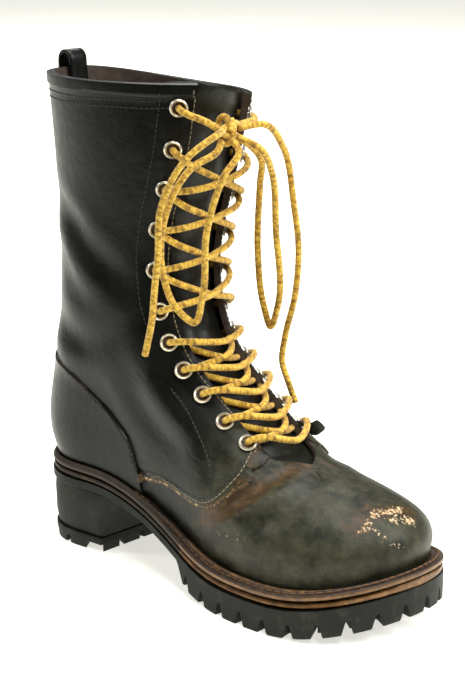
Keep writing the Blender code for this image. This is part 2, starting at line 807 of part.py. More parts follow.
def middle_lugs():
    """Two rows of blocks along the middle of the forepart."""
    inner_rim = sole_ring(1.0, inset=LUG_REACH + LUG_GAP)
    blocks = []
    pitch = LUG_LENGTH + LUG_GAP
    start = fore_edge() + LUG_GAP
    stop = inner_rim[:, 0].max() - LUG_GAP
    count = int((stop - start) / pitch)
    for k in range(count):
        back, front = start + k * pitch, start + k * pitch + LUG_LENGTH
        edges = []
        for x in (back, front):
            inside = inner_rim[inner_rim[:, 1] > TOE_SWING]
            outside = inner_rim[inner_rim[:, 1] <= TOE_SWING]
            inside = inside[np.argsort(inside[:, 0])]
            outside = outside[np.argsort(outside[:, 0])]
            edges.append((np.interp(x, outside[:, 0], outside[:, 1]), np.interp(x, inside[:, 0], inside[:, 1])))
        for side in (0, 1):
            middle = TOE_SWING + (LUG_GAP / 2 if side else -LUG_GAP / 2)
            outer = np.array([(back, edges[0][side]), (front, edges[1][side])])
            inner = np.array([(back, middle), (front, middle)])
            if np.abs(outer[:, 1] - middle).min() > LUG_GAP * 2:
                blocks.append(lug_block(outer, inner, fore_floor, fore_root))
    return blocks


def joined(name, finish, blocks):
    verts, faces = [], []
    for block_verts, block_faces in blocks:
        first = len(verts)
        verts.extend(block_verts)
        faces.extend([[first + i for i in face] for face in block_faces])
    obj = new_object(name, finish, verts, faces)
    face_outwards(obj)
    return obj


def build_outsole():
    """Rubber bottom: thick and lugged under the forepart, thin through the arch and over the heel."""
    ring = sole_ring()
    top = line_at(ring, MIDSOLE_THICKNESS + GAP)
    thick = OUTSOLE_THICKNESS - LUG_DEPTH
    fore = smooth(fore_edge() - 0.004, fore_edge() + 0.003, ring[:, 0])
    low = line_at(ring, MIDSOLE_THICKNESS + SHANK_THICKNESS + (thick - SHANK_THICKNESS) * fore)
    obj = plate("outsole", RUBBER, ring, low, top)
    lugs = joined("lugs", RUBBER, fore_lugs() + middle_lugs())
    combine(obj, lugs, "UNION")
    return obj


# Heel

def heel_outline(inset):
    """Plan points of the heel's top: the sole's back columns, closed at the breast by a straight cut."""
    ring = sole_ring(1.0, inset=inset)
    n = len(ring)
    breast = ring[0, 0] + HEEL_LENGTH
    count = 1
    while ring[count + 1, 0] < breast - 0.002:
        count += 1
    outer = list(ring[: count + 1])
    inner = list(ring[n - count:][::-1])
    for side, following in ((outer, ring[count + 1]), (inner, ring[n - count - 1])):
        share = (breast - side[-1][0]) / (following[0] - side[-1][0])
        side.append(side[-1] + (following - side[-1]) * share)
    return np.array(outer + inner[::-1])


def heel_bottom(top):
    """The heel's lower outline, drawn in at the back, the sides and the breast."""
    back, front = top[:, 0].min(), top[:, 0].max()
    share = (top[:, 0] - back) / (front - back)
    x = back + HEEL_UNDERCUT + share * (front - back - HEEL_UNDERCUT - BREAST_SLOPE)
    return np.stack([x, top[:, 1] * HEEL_TAPER], axis=1)


def build_heel():
    top = heel_outline(0.0006)
    drop = MIDSOLE_THICKNESS + SHANK_THICKNESS + 1.6 * GAP
    bottom = heel_bottom(top)
    plate("heel_block", RUBBER, (bottom, top), np.full(len(top), HEEL_LIFT_THICKNESS + GAP), line_at(top, drop))
    low = np.full(len(bottom), HEEL_LIFT_THICKNESS - 0.004)
    lift = plate("heel_lift", RUBBER, bottom, low, np.full(len(bottom), HEEL_LIFT_THICKNESS))
    combine(lift, joined("heel_lugs", RUBBER, heel_lugs(bottom)), "UNION", crowded=True)


def heel_lugs(outline):
    """Blocks round the heel's edge and one in the middle."""
    centre = np.array([outline[:, 0].mean(), 0.0])
    inner = centre + (outline - centre) * 0.56
    blocks = []

    def floor(points):
        return np.zeros(len(points))

    def root(points):
        return np.full(len(points), HEEL_LIFT_THICKNESS - 0.003)

    start = len(outline) // 2
    rolled = np.roll(outline, -start, axis=0)
    inside = np.roll(inner, -start, axis=0)
    length = lengths_along(rolled)
    count = round(length[-1] / (LUG_LENGTH + LUG_GAP))
    pitch = length[-1] / count
    for k in range(count):
        at = np.linspace(k * pitch + LUG_GAP / 2, (k + 1) * pitch - LUG_GAP / 2, 4)
        outer = places_along(rolled, length, at)
        ends = places_along(inside, length, at[[0, -1]])
        blocks.append(lug_block(centre + (outer - centre) * 0.985, ends, floor, root))
    middle = centre + (inside - centre) * 0.80
    box = np.array([middle.min(axis=0), middle.max(axis=0)])
    left = np.array([(box[0, 0], box[1, 1] * 0.6), (box[1, 0], box[1, 1] * 0.6)])
    right = np.array([(box[0, 0], box[0, 1] * 0.6), (box[1, 0], box[0, 1] * 0.6)])
    blocks.append(lug_block(right, left, floor, root))
    return blocks


# Tongue, pull loop, eyelets and laces

def build_tongue():
    """Soft sheet under the laces, following the inside of the upper."""
    rows = np.linspace(THROAT_ROW - 0.075, 1.0, 22)
    spread = np.linspace(-1.0, 1.0, 9)
    outside = -(WALL + TONGUE_GAP)
    places = []
    for row in rows:
        reach = TONGUE_HALF_WIDTH * (0.80 + 0.20 * float(smooth(THROAT_ROW - 0.08, 0.75, row)))
        edge = s_at_half_width(row, reach, 1.0)
        places.append([(edge * share, row) for share in spread])
    flat = np.array(places).reshape(-1, 2)
    top = shell(flat[:, 0], flat[:, 1], outside)
    low = shell(flat[:, 0], flat[:, 1], outside - TONGUE_THICKNESS)
    across = len(spread)
    count = len(flat)
    faces = []
    for i in range(len(rows) - 1):
        for j in range(across - 1):
            a = i * across + j
            quad = [a, a + 1, a + across + 1, a + across]
            faces.append(quad)
            faces.append([count + k for k in reversed(quad)])
    border = [j for j in range(across)]
    border += [i * across + across - 1 for i in range(1, len(rows))]
    border += [count - 1 - j for j in range(1, across)]
    border += [i * across for i in range(len(rows) - 2, 0, -1)]
    for a, b in zip(border, border[1:] + border[:1]):
        faces.append([b, a, count + a, count + b])
    obj = new_object("tongue", LEATHER, np.concatenate([top, low]), faces)
    face_outwards(obj)


def build_pull_loop():
    """Strap folded over the back of the collar, stitched outside and inside."""
    outside = QUARTER_STEP + COLLAR_STEP + LOOP_OUTER_GAP + LOOP_THICKNESS / 2
    inside = -(WALL + LOOP_INNER_GAP + LOOP_THICKNESS / 2)
    tab = LOOP_TAB / 0.043 / (len(SECTIONS) - 1)
    centre = []
    for row in (1.0 - tab, 1.0 - tab / 2, 1.0):
        centre.append(shell(1.0, row, outside)[0])
    collar_out, collar_in = shell(1.0, 1.0, outside)[0], shell(1.0, 1.0, inside)[0]
    middle, radius = (collar_out + collar_in) / 2, abs(collar_out[0] - collar_in[0]) / 2
    for angle in np.radians((170, 140, 110, 90, 70, 40, 10)):
        arch = np.array([math.cos(angle) * radius, 0.0, LOOP_STAND - radius + math.sin(angle) * radius])
        centre.append(middle + arch)
    for row in (1.0, 1.0 - tab / 2, 1.0 - tab):
        centre.append(shell(1.0, row, inside)[0])
    path = np.array(centre)[:, [0, 2]]
    ahead = np.gradient(path, axis=0)
    side = np.stack([-ahead[:, 1], ahead[:, 0]], axis=1)
    side /= np.linalg.norm(side, axis=1)[:, None]
    verts = []
    for point, out in zip(path, side):
        for across, lift in ((-1, 1), (1, 1), (1, -1), (-1, -1)):
            x, z = point + out * lift * LOOP_THICKNESS / 2
            verts.append((x, across * LOOP_WIDTH / 2, z))
    faces = [[0, 1, 2, 3], [len(verts) - 1, len(verts) - 2, len(verts) - 3, len(verts) - 4]]
    for i in range(len(path) - 1):
        for k in range(4):
            a, b = 4 * i + k, 4 * i + (k + 1) % 4
            faces.append([a, b, b + 4, a + 4])
    obj = new_object("pull_loop", LEATHER, verts, faces)
    face_outwards(obj)


def build_eyelets():
    """Metal rings whose barrels pass through the quarter's holes."""
    seat = QUARTER_STEP + EYELET_SEAT_GAP
    profile_points = (
        (EYELET_BARREL, -WALL),
        (EYELET_BARREL, seat),
        (EYELET_FLANGE, seat),
        (EYELET_FLANGE - 0.0006, seat + EYELET_LIP),
        (EYELET_BORE + 0.0004, seat + EYELET_LIP),
        (EYELET_BORE, -WALL),
    )
    sides = 8
    for name, s, row in eyelet_places():
        out = normals(s, row)[0]
        around = tangents(s, row)[0][0]
        u = around / np.linalg.norm(around)
        v = np.cross(out, u)
        base = skin(s, row)[0]
        verts = []
        for radius, rise in profile_points:
            for angle in np.linspace(0.0, 2 * math.pi, sides, endpoint=False):
                verts.append(base + out * rise + radius * (u * math.cos(angle) + v * math.sin(angle)))
        faces = []
        rings = len(profile_points)
        for k in range(rings):
            for i in range(sides):
                j = (i + 1) % sides
                nxt = (k + 1) % rings
                faces.append([k * sides + i, k * sides + j, nxt * sides + j, nxt * sides + i])
        face_outwards(new_object(name, NICKEL, verts, faces))


def tube(path, radius, sides=6):
    """Verts and faces of a round bar along a path, closed at both ends."""
    path = np.asarray(path, float)
    ahead = np.gradient(path, axis=0)
    ahead /= np.linalg.norm(ahead, axis=1)[:, None]
    verts = []
    for point, direction in zip(path, ahead):
        u = np.cross(direction, (1.0, 0.0, 0.2))
        u /= np.linalg.norm(u)
        v = np.cross(direction, u)
        for angle in np.linspace(0.0, 2 * math.pi, sides, endpoint=False):
            verts.append(point + radius * (u * math.cos(angle) + v * math.sin(angle)))
    faces = [list(range(sides))[::-1], list(range(len(verts) - sides, len(verts)))]
    for i in range(len(path) - 1):
        for k in range(sides):
            a, b = i * sides + k, i * sides + (k + 1) % sides
            faces.append([a, b, b + sides, a + sides])
    return verts, faces


LACE_LIFT = QUARTER_STEP + EYELET_SEAT_GAP + EYELET_LIP + 2 * GAP + LACE_RADIUS


def strand(start, end):
    """Path of a lace over the throat between two places of the surface."""
    share = np.linspace(0.0, 1.0, 7)
    s = start[0] + (end[0] - start[0]) * share
    row = start[1] + (end[1] - start[1]) * share
    return shell(s, row, LACE_LIFT)


def build_lace_bars():
    """Straight bars over the lower pairs of eyelets and crossings over the upper ones."""
    rows = eyelet_rows()
    reach = [float(throat_half_gap(row)) + EYELET_SETBACK * 0.8 for row in rows]
    outer = [(s_at_half_width(row, far, -1.0), row) for row, far in zip(rows, reach)]
    inner = [(s_at_half_width(row, far, 1.0), row) for row, far in zip(rows, reach)]
    for k in range(BAR_COUNT):
        verts, faces = tube(strand(outer[k], inner[k]), LACE_RADIUS)
        face_outwards(new_object(f"lace_bar_{k + 1}", LACE_CORD, verts, faces))
    for k in range(BAR_COUNT, EYELET_PAIRS - 2):
        clear = 0.10 * (rows[k + 1] - rows[k])
        pieces = []
        for start, end in ((outer[k], inner[k + 1]), (inner[k], outer[k + 1])):
            low, high = (start[0], start[1] + clear), (end[0], end[1] - clear)
            verts, faces = tube(strand(low, high), LACE_RADIUS)
            pieces.append(new_object(f"lace_crossing_{k + 1 - BAR_COUNT}", LACE_CORD, verts, faces))
            face_outwards(pieces[-1])
        combine(pieces[0], pieces[1], "UNION")
        pieces[0].name = f"lace_crossing_{k + 1 - BAR_COUNT}"


def build_knot():
    """The bow's knot with the two strands that come to it from the top eyelets."""
    rows = eyelet_rows()
    row = rows[-1]
    centre = KNOT_PLACE
    bm = bmesh.new()
    bmesh.ops.create_icosphere(bm, subdivisions=2, radius=1.0)
    for vert in bm.verts:
        vert.co = Vector((vert.co.x * KNOT_SIZE[0], vert.co.y * KNOT_SIZE[1], vert.co.z * KNOT_SIZE[2]))
        vert.co += Vector(centre)
    mesh = bpy.data.meshes.new("lace_knot")
    bm.to_mesh(mesh)
    bm.free()
    knot = bpy.data.objects.new("lace_knot", mesh)
    bpy.context.scene.collection.objects.link(knot)
    mesh.materials.append(material(LACE_CORD))
    for side in (-1.0, 1.0):
        s = s_at_half_width(row, float(throat_half_gap(row)) + EYELET_SETBACK * 0.8, side)
        start = shell(s, row, LACE_LIFT)[0]
        end = np.array(centre) + np.array([0.0, side * 0.003, 0.0])
        lift = np.array([0.004, 0.0, 0.0])
        path = [start, start * 0.6 + end * 0.4 + lift, start * 0.25 + end * 0.75 + lift * 0.6, end]
        verts, faces = tube(path, LACE_RADIUS)
        arm = new_object("arm", LACE_CORD, verts, faces)
        face_outwards(arm)
        combine(knot, arm, "UNION")


def knot_seat(mark):
    """Where a lace that comes from this mark meets the knot."""
    away = np.array(mark) - np.array(KNOT_PLACE)
    away /= np.linalg.norm(away)
    reach = 1.0 / np.linalg.norm(away / np.array(KNOT_SIZE))
    return np.array(KNOT_PLACE) + away * (reach + KNOT_GAP)


def build_cord(name, path):
    """A hanging part of the lace as a round cord that starts on the knot; a loop ends there too."""
    curve = bpy.data.curves.new(name, "CURVE")
    curve.dimensions = "3D"
    curve.bevel_depth = LACE_RADIUS
    curve.bevel_resolution = 2
    curve.use_fill_caps = True
    spline = curve.splines.new("POLY")
    marks = [knot_seat(path[0]), *path]
    if "loop" in name:
        marks.append(knot_seat(path[-1]))
    path = smoothed(marks)
    spline.points.add(len(path) - 1)
    for point, place in zip(spline.points, path):
        point.co = (*place, 1.0)
    obj = bpy.data.objects.new(name, curve)
    bpy.context.scene.collection.objects.link(obj)
    curve.materials.append(material(LACE_CORD))


def smoothed(path):
    """Points of a smooth line through the path's marks, about a centimetre apart."""
    marks = np.array([tuple(mark) for mark in path])
    length = np.concatenate([[0.0], np.cumsum(np.linalg.norm(np.diff(marks, axis=0), axis=1))])
    at = np.linspace(0.0, length[-1], max(8, int(length[-1] / 0.010)))
    return np.stack([hermite(length, marks[:, k], at) for k in range(3)], axis=1)


def clear_scene():
    for obj in list(bpy.data.objects):
        bpy.data.objects.remove(obj)


def main():
    clear_scene()
    build_upper()
    build_welt()
    build_midsole()
    build_insole()
    build_outsole()
    build_heel()
    build_tongue()
    build_pull_loop()
    build_eyelets()
    build_lace_bars()
    build_knot()
    for name, path in HANGING_LACES.items():
        build_cord(name, path)


main()
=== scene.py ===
"""Right logger boot: leather, rubber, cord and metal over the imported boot, with floor, lights and camera.

+X points to the toe, +Y to the boot's inner side, +Z up. The origin is the middle of the heel's resting
face. Lengths are in metres.
"""

import math
import random
from collections import namedtuple

import bmesh
import bpy
import numpy as np
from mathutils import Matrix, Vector
from mathutils.bvhtree import BVHTree


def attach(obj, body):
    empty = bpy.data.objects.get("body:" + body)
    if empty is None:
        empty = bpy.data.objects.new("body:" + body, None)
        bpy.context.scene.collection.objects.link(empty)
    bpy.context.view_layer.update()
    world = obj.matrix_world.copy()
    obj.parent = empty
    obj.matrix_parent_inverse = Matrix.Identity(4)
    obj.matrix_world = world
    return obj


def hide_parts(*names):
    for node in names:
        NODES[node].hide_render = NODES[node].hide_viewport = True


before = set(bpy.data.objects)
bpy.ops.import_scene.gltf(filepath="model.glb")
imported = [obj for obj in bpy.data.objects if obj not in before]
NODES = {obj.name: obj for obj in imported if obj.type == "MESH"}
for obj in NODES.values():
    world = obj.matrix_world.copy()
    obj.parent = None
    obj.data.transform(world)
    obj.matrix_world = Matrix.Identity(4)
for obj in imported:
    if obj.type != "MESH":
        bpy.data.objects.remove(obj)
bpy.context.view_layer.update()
DRAW = random.Random(11)

# Camera, as fitted to the photo: the place is kept, and the lens is longer so that one boot fills the frame
CAMERA_PLACE = Vector((0.7797, -0.7276, 0.4010))
CAMERA_AIM = Vector((0.1050, 0.0030, 0.1330))
PHOTO_LENS_PX = 1181.8
CLOSER = 1.53
FRAME_LONG_SIDE_PX = 700.0
SENSOR_MM = 36.0

# The studio's sheet and how far in front of the boot it ends
SHEET_SIZE = 8.0
SHEET_END = 0.33

# Lace, thread and the rows of eyelets
LACE_RADIUS = 0.00195
LACE_SIDES = 10
LACE_SWELL = 0.03
LACE_SWELL_WAVES = 1900.0
THREAD_RADIUS = 0.00034
SHAFT_STITCH = 0.0030
WELT_STITCH = 0.0050
WELT_THREAD = 0.00052
EYELET_PAIRS = 11
BAR_ROWS = 5

# Sole: its notched rim, the copy of the CAD tread inside it, and where bright edges and the welt's bead start
TREAD_PITCH = 0.0165
TREAD_NOTCH = 0.0032
TREAD_NOTCH_TOP = 0.0009
TREAD_REACH = 0.0170
TREAD_DROP = 0.0110
NOTCH_RISE = 0.0078
FOREPART = (0.104, 0.114)
RIM_POINTS = 1400
RIM_CHAMFER = 0.0008
RIM_GAP = 0.0003
TREAD_CENTRE = (0.100, 0.002)
TREAD_SCALE = (0.955, 0.900)
SHANK_THICKNESS = 0.0050
LIFT_BEVEL = 0.0005
BRIGHT_FROM = 0.108
WELT_TOP_RISE = 0.0044

# Upper: where its finish changes, the wall's middle line, and how far cut edges and their wear reach
VAMP_FROM = (0.105, 0.150)
VAMP_UNDER = (0.085, 0.120)
LOW_UNDER = (0.060, 0.100)
WALL_MIDDLE = (0.030, 0.190)
CUT_EDGE_REACH = 0.0036
CUT_EDGE_WIDTH = 0.0030
CUT_EDGE_END = 0.0160
EDGE_WEAR = 0.0012

# Steps along drawn lines, points that are taken as one, and how far off the rays start
MARK_STEP = 0.0015
SAME_PLACE = 1e-6
RAY_START = 0.2


# Colours and nodes

def colour(code):
    """Linear colour of an sRGB hex value."""
    parts = [int(code[i:i + 2], 16) / 255.0 for i in (1, 3, 5)]
    linear = [p / 12.92 if p <= 0.04045 else ((p + 0.055) / 1.055) ** 2.4 for p in parts]
    return (*linear, 1.0)


def add_node(tree, kind, links=None, **settings):
    """A node with its settings, its input values and its links by socket name or number."""
    node = tree.nodes.new("ShaderNode" + kind)
    for name, value in settings.items():
        setattr(node, name, value)
    for socket, value in (links or {}).items():
        target = node.inputs[socket]
        if isinstance(value, bpy.types.NodeSocket):
            tree.links.new(value, target)
        else:
            target.default_value = value
    return node


def new_material(name):
    made = bpy.data.materials.new(name)
    made.use_nodes = True
    tree = made.node_tree
    return made, tree, tree.nodes["Principled BSDF"]


def ramp(tree, fac, stops):
    """A colour ramp with (position, colour code) stops."""
    node = add_node(tree, "ValToRGB", {0: fac})
    points = node.color_ramp.elements
    while len(points) < len(stops):
        points.new(0.5)
    for point, (position, code) in zip(points, stops):
        point.position = position
        point.color = colour(code)
    return node.outputs[0]


def mix(tree, share, first, second):
    return add_node(tree, "Mix", {0: share, 6: first, 7: second}, data_type="RGBA").outputs[2]


def math_node(tree, operation, first, second=0.0, third=0.0):
    return add_node(tree, "Math", {0: first, 1: second, 2: third}, operation=operation).outputs[0]


def noise(tree, place, per_metre, detail, rough):
    return add_node(
        tree, "TexNoise", {"Vector": place, "Scale": per_metre, "Detail": detail, "Roughness": rough}
    ).outputs[0]


def stretch(tree, value, low, high):
    """0 below low, 1 above high."""
    return add_node(
        tree, "MapRange", {0: value, 1: low, 2: high}, interpolation_type="SMOOTHSTEP"
    ).outputs[0]


def bump(tree, height, depth, strength=1.0, normal=None):
    links = {"Height": height, "Distance": depth, "Strength": strength}
    if normal:
        links["Normal"] = normal
    return add_node(tree, "Bump", links).outputs[0]


def object_place(tree):
    return add_node(tree, "TexCoord").outputs["Object"]


def painted(tree, name):
    """A value brushed on the piece's points."""
    return add_node(tree, "Attribute", attribute_name=name).outputs["Fac"]


# Materials

def waxed_leather():
    """Oil-waxed black cowhide: a soft gloss where it is clean, grey and dry where the vamp is worn, brown
    where the dye has gone, and pale tan where the surface itself is scraped off."""
    made, tree, shader = new_material("waxed_cowhide")
    place = object_place(tree)
    dull, brown, scraped = (painted(tree, name) for name in ("dull", "brown", "scraped"))
    cloudy = noise(tree, place, 1 / 0.016, 5.0, 0.6)
    patchy = noise(tree, place, 1 / 0.0048, 6.0, 0.68)
    speckled = noise(tree, place, 1 / 0.0017, 5.0, 0.7)
    black = ramp(tree, cloudy, ((0.30, "#090a08"), (0.70, "#11120f")))
    dusty = ramp(tree, patchy, ((0.25, "#34342a"), (0.60, "#4b4b38"), (0.85, "#68664c")))
    dust = math_node(tree, "MULTIPLY", dull, stretch(tree, cloudy, 0.18, 0.75))
    base = mix(tree, dust, black, dusty)
    tanned = ramp(tree, patchy, ((0.25, "#2b2115"), (0.55, "#4a3822"), (0.85, "#705a38")))
    gone = math_node(tree, "MULTIPLY_ADD", patchy, 1.1, math_node(tree, "ADD", brown, -0.72))
    bare = stretch(tree, gone, 0.0, 0.45)
    base = mix(tree, bare, base, tanned)
    pale = ramp(tree, speckled, ((0.30, "#8f6440"), (0.50, "#c9a67b"), (0.75, "#e9d9bd")))
    patches = math_node(tree, "MULTIPLY_ADD", patchy, 1.3, -2.02)
    chips = math_node(tree, "MULTIPLY_ADD", speckled, 1.5, patches)
    chipped = stretch(tree, math_node(tree, "ADD", chips, scraped), 0.0, 0.18)
    base = mix(tree, chipped, base, pale)
    gloss = math_node(tree, "MULTIPLY_ADD", dull, 0.08, math_node(tree, "MULTIPLY_ADD", cloudy, 0.20, 0.25))
    rough = math_node(tree, "MAXIMUM", gloss, math_node(tree, "MULTIPLY", chipped, 0.85))
    # full-grain leather: pebbles about a millimetre across, drawn a little coarse so that they show
    pebbles = add_node(
        tree, "TexVoronoi", {"Vector": place, "Scale": 1 / 0.0014}, feature="DISTANCE_TO_EDGE"
    ).outputs["Distance"]
    grain = bump(tree, pebbles, 0.00016, 0.45)
    puckers = bump(tree, noise(tree, place, 1 / 0.006, 5.0, 0.6), 0.0011, 0.32, grain)
    scars = bump(tree, chipped, 0.0004, 0.8, puckers)
    tree.links.new(base, shader.inputs["Base Color"])
    tree.links.new(rough, shader.inputs["Roughness"])
    tree.links.new(scars, shader.inputs["Normal"])
    shader.inputs["Specular IOR Level"].default_value = 0.20
    return made


def plain_leather(name, dark, middle, light, roughness, grain_mm, depth_mm=0.25):
    """Leather in one tone with its own mottling, such as a cut edge, a lining or a sole's stacked edge."""
    made, tree, shader = new_material(name)
    place = object_place(tree)
    tone = noise(tree, place, 1000.0 / grain_mm, 6.0, 0.65)
    tones = ramp(tree, tone, ((0.30, dark), (0.52, middle), (0.75, light)))
    tree.links.new(tones, shader.inputs["Base Color"])
    shader.inputs["Roughness"].default_value = roughness
    tree.links.new(bump(tree, tone, depth_mm / 1000.0, 0.6), shader.inputs["Normal"])
    return made


def sole_rubber():
    """Moulded black rubber: matt, with a bloom of pale dust and fine pitting."""
    made, tree, shader = new_material("moulded_rubber")
    place = object_place(tree)
    dust = noise(tree, place, 1 / 0.011, 6.0, 0.65)
    pits = noise(tree, place, 1 / 0.0011, 3.0, 0.5)
    tone = ramp(tree, dust, ((0.30, "#0e0f0d"), (0.55, "#1b1c18"), (0.85, "#3a3a30")))
    tree.links.new(tone, shader.inputs["Base Color"])
    shader.inputs["Roughness"].default_value = 0.62
    shader.inputs["Specular IOR Level"].default_value = 0.22
    tree.links.new(bump(tree, pits, 0.0002, 0.5), shader.inputs["Normal"])
    return made


def eyelet_metal():
    """Nickel-plated brass, stamped: pale, warm and softly bright, with worn spots."""
    made, tree, shader = new_material("nickel_plate")
    wear = noise(tree, object_place(tree), 1 / 0.0021, 4.0, 0.6)
    tone = ramp(tree, wear, ((0.30, "#b9b096"), (0.55, "#ded8c4"), (0.80, "#f1ecdd")))
    tree.links.new(tone, shader.inputs["Base Color"])
    shader.inputs["Metallic"].default_value = 0.75
    shader.inputs["Roughness"].default_value = 0.32
    return made


def lace_cord():
    """Round braided bootlace, golden yellow with a rust fleck; its plaits are 1.6 mm long so that they show.
    Each plait's colour holds a painted highlight on its top and painted shade towards the grooves between
    plaits.
    """
    made, tree, shader = new_material("braided_lace")
    around = add_node(tree, "UVMap", uv_map="along_lace").outputs[0]
    spread = add_node(tree, "Mapping", {"Vector": around, "Scale": (4.0, 620.0, 1.0)}).outputs[0]
    plaits = add_node(tree, "TexVoronoi", {"Vector": spread, "Scale": 1.0}, feature="F1")
    fleck_place = add_node(tree, "Mapping", {"Vector": around, "Scale": (2.0, 170.0, 1.0)}).outputs[0]
    flecks = noise(tree, fleck_place, 1.0, 5.0, 0.7)
    fuzz = noise(tree, object_place(tree), 1 / 0.0008, 4.0, 0.7)
    # painted highlight in each plait's middle, darkening to painted shade at its edges where the plaits meet
    gold_lit_tops_shaded_grooves = ramp(tree, plaits.outputs["Distance"], ((0.10, "#f0ce55"), (0.50, "#d6a838"), (0.90, "#8b6a1e")))
    rust = ramp(tree, fuzz, ((0.30, "#6b4013"), (0.65, "#9a6a20")))
    share = stretch(tree, flecks, 0.50, 0.66)
    base = mix(tree, math_node(tree, "MULTIPLY", share, 0.55), gold_lit_tops_shaded_grooves, rust)
    tree.links.new(base, shader.inputs["Base Color"])
    shader.inputs["Roughness"].default_value = 0.85
    shader.inputs["Sheen Weight"].default_value = 0.25
    lumps = bump(tree, plaits.outputs["Distance"], 0.0005, 0.70)
    tree.links.new(bump(tree, fuzz, 0.0004, 0.6, lumps), shader.inputs["Normal"])
    return made


def thread(name, code, roughness=0.8):
    """Waxed sewing thread."""
    made, tree, shader = new_material(name)
    twist = noise(tree, object_place(tree), 1 / 0.0006, 2.0, 0.5)
    tree.links.new(bump(tree, twist, 0.0001, 0.4), shader.inputs["Normal"])
    shader.inputs["Base Color"].default_value = colour(code)
    shader.inputs["Roughness"].default_value = roughness
    return made


COWHIDE = waxed_leather()
CUT_EDGE = plain_leather("cut_cowhide_edge", "#2a1f13", "#6a5233", "#a68b60", 0.85, 1.6)
LINING = plain_leather("glove_leather_lining", "#2a2019", "#3c2f24", "#4f4031", 0.80, 6.0)
INSOLE = plain_leather("insole_board", "#6a4f35", "#80633f", "#967a52", 0.85, 5.0)
WELT_TOP = plain_leather("oiled_welt_leather", "#1f140c", "#332315", "#4f3a22", 0.60, 4.0, 0.4)
WELT_BEAD = plain_leather("rubbed_welt_bead", "#3b2613", "#654524", "#8f6a3a", 0.45, 4.0)
MIDSOLE_EDGE = plain_leather("bevelled_midsole_edge", "#3f2812", "#6f4c22", "#96703a", 0.45, 5.0)
ARCH_EDGE = plain_leather("dark_sole_edge", "#1b130b", "#2e2011", "#46301a", 0.62, 6.0)
RUBBER = sole_rubber()
NICKEL = eyelet_metal()
# dark brown where the eyelet's rim turns down into its hole: painted shade of the hole
EYELET_HOLE_SHADE = plain_leather("eyelet_throat_painted_shade", "#1c120a", "#3a2512", "#5c3d1f", 0.55, 1.2, 0.1)
LACE = lace_cord()
BLACK_THREAD = thread("black_thread", "#262622", 0.6)
PALE_THREAD = thread("weathered_thread", "#8d8468")
WELT_THREAD_FINISH = thread("waxed_linen_thread", "#6b4a28")


# Making pieces

def select_only(obj):
    bpy.ops.object.select_all(action="DESELECT")
    obj.select_set(True)
    bpy.context.view_layer.objects.active = obj


def new_piece(name, verts, faces, finishes, face_finish=None):
    mesh = bpy.data.meshes.new(name)
    mesh.from_pydata([tuple(v) for v in verts], [], [tuple(f) for f in faces])
    obj = bpy.data.objects.new(name, mesh)
    bpy.context.scene.collection.objects.link(obj)
    for finish in finishes:
        mesh.materials.append(finish)
    if face_finish is not None:
        mesh.polygons.foreach_set("material_index", face_finish)
    return obj


def shade(obj, degrees):
    select_only(obj)
    bpy.ops.object.shade_smooth_by_angle(angle=math.radians(degrees))


def apply_modifiers(obj):
    select_only(obj)
    for modifier in list(obj.modifiers):
        bpy.ops.object.modifier_apply(modifier=modifier.name)


def outward(obj):
    """Merges a new piece's points and turns its faces outwards."""
    select_only(obj)
    bpy.ops.object.mode_set(mode="EDIT")
    bpy.ops.mesh.select_all(action="SELECT")
    bpy.ops.mesh.remove_doubles(threshold=SAME_PLACE)
    bpy.ops.mesh.normals_make_consistent(inside=False)
    bpy.ops.object.mode_set(mode="OBJECT")


def subdivide_smooth(obj, levels):
    modifier = obj.modifiers.new("Smooth", "SUBSURF")
    modifier.levels = levels
    modifier.render_levels = levels
    apply_modifiers(obj)


def crease_edges(mesh, sharper_than, hold):
    """Holds the edges between faces that meet at more than an angle."""
    bm = bmesh.new()
    bm.from_mesh(mesh)
    layer = bm.edges.layers.float.get("crease_edge") or bm.edges.layers.float.new("crease_edge")
    for edge in bm.edges:
        if len(edge.link_faces) == 2 and edge.calc_face_angle() > math.radians(sharper_than):
            edge[layer] = hold
    bm.to_mesh(mesh)
    bm.free()


def copy_of(node, name, finishes, sharper_than=35.0, hold=0.5, levels=2):
    """A CAD node's copy, merged, its edges held, and its faces divided smooth."""
    obj = bpy.data.objects.new(name, NODES[node].data.copy())
    bpy.context.scene.collection.objects.link(obj)
    obj.data.materials.clear()
    for finish in finishes:
        obj.data.materials.append(finish)
    select_only(obj)
    bpy.ops.mesh.customdata_custom_splitnormals_clear()
    bpy.ops.object.mode_set(mode="EDIT")
    bpy.ops.mesh.select_all(action="SELECT")
    bpy.ops.mesh.remove_doubles(threshold=SAME_PLACE)
    bpy.ops.mesh.tris_convert_to_quads(face_threshold=math.radians(25), shape_threshold=math.radians(40))
    bpy.ops.object.mode_set(mode="OBJECT")
    crease_edges(obj.data, sharper_than, hold)
    if levels:
        subdivide_smooth(obj, levels)
    return obj


def points_of(obj):
    flat = np.empty(len(obj.data.vertices) * 3)
    obj.data.vertices.foreach_get("co", flat)
    return flat.reshape(-1, 3)


def set_points(obj, points):
    obj.data.vertices.foreach_set("co", np.asarray(points).reshape(-1))
    obj.data.update()


def normals_of(obj):
    flat = np.empty(len(obj.data.vertices) * 3)
    obj.data.vertices.foreach_get("normal", flat)
    return flat.reshape(-1, 3)


def brush(obj, name, values):
    """Stores a value from 0 to 1 at each point, which the materials read by its name."""
    layer = obj.data.attributes.new(name, "FLOAT", "POINT")
    layer.data.foreach_set("value", np.clip(values, 0.0, 1.0))


def stand_for(piece, node):
    """Lets a piece ride the boot in a CAD node's place."""
    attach(piece, "root")
    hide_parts(node)


def ramp_between(low, high, values):
    """0 below low, 1 above high, with a soft rise between them."""
    t = np.clip((values - low) / (high - low), 0.0, 1.0)
    return t * t * (3.0 - 2.0 * t)


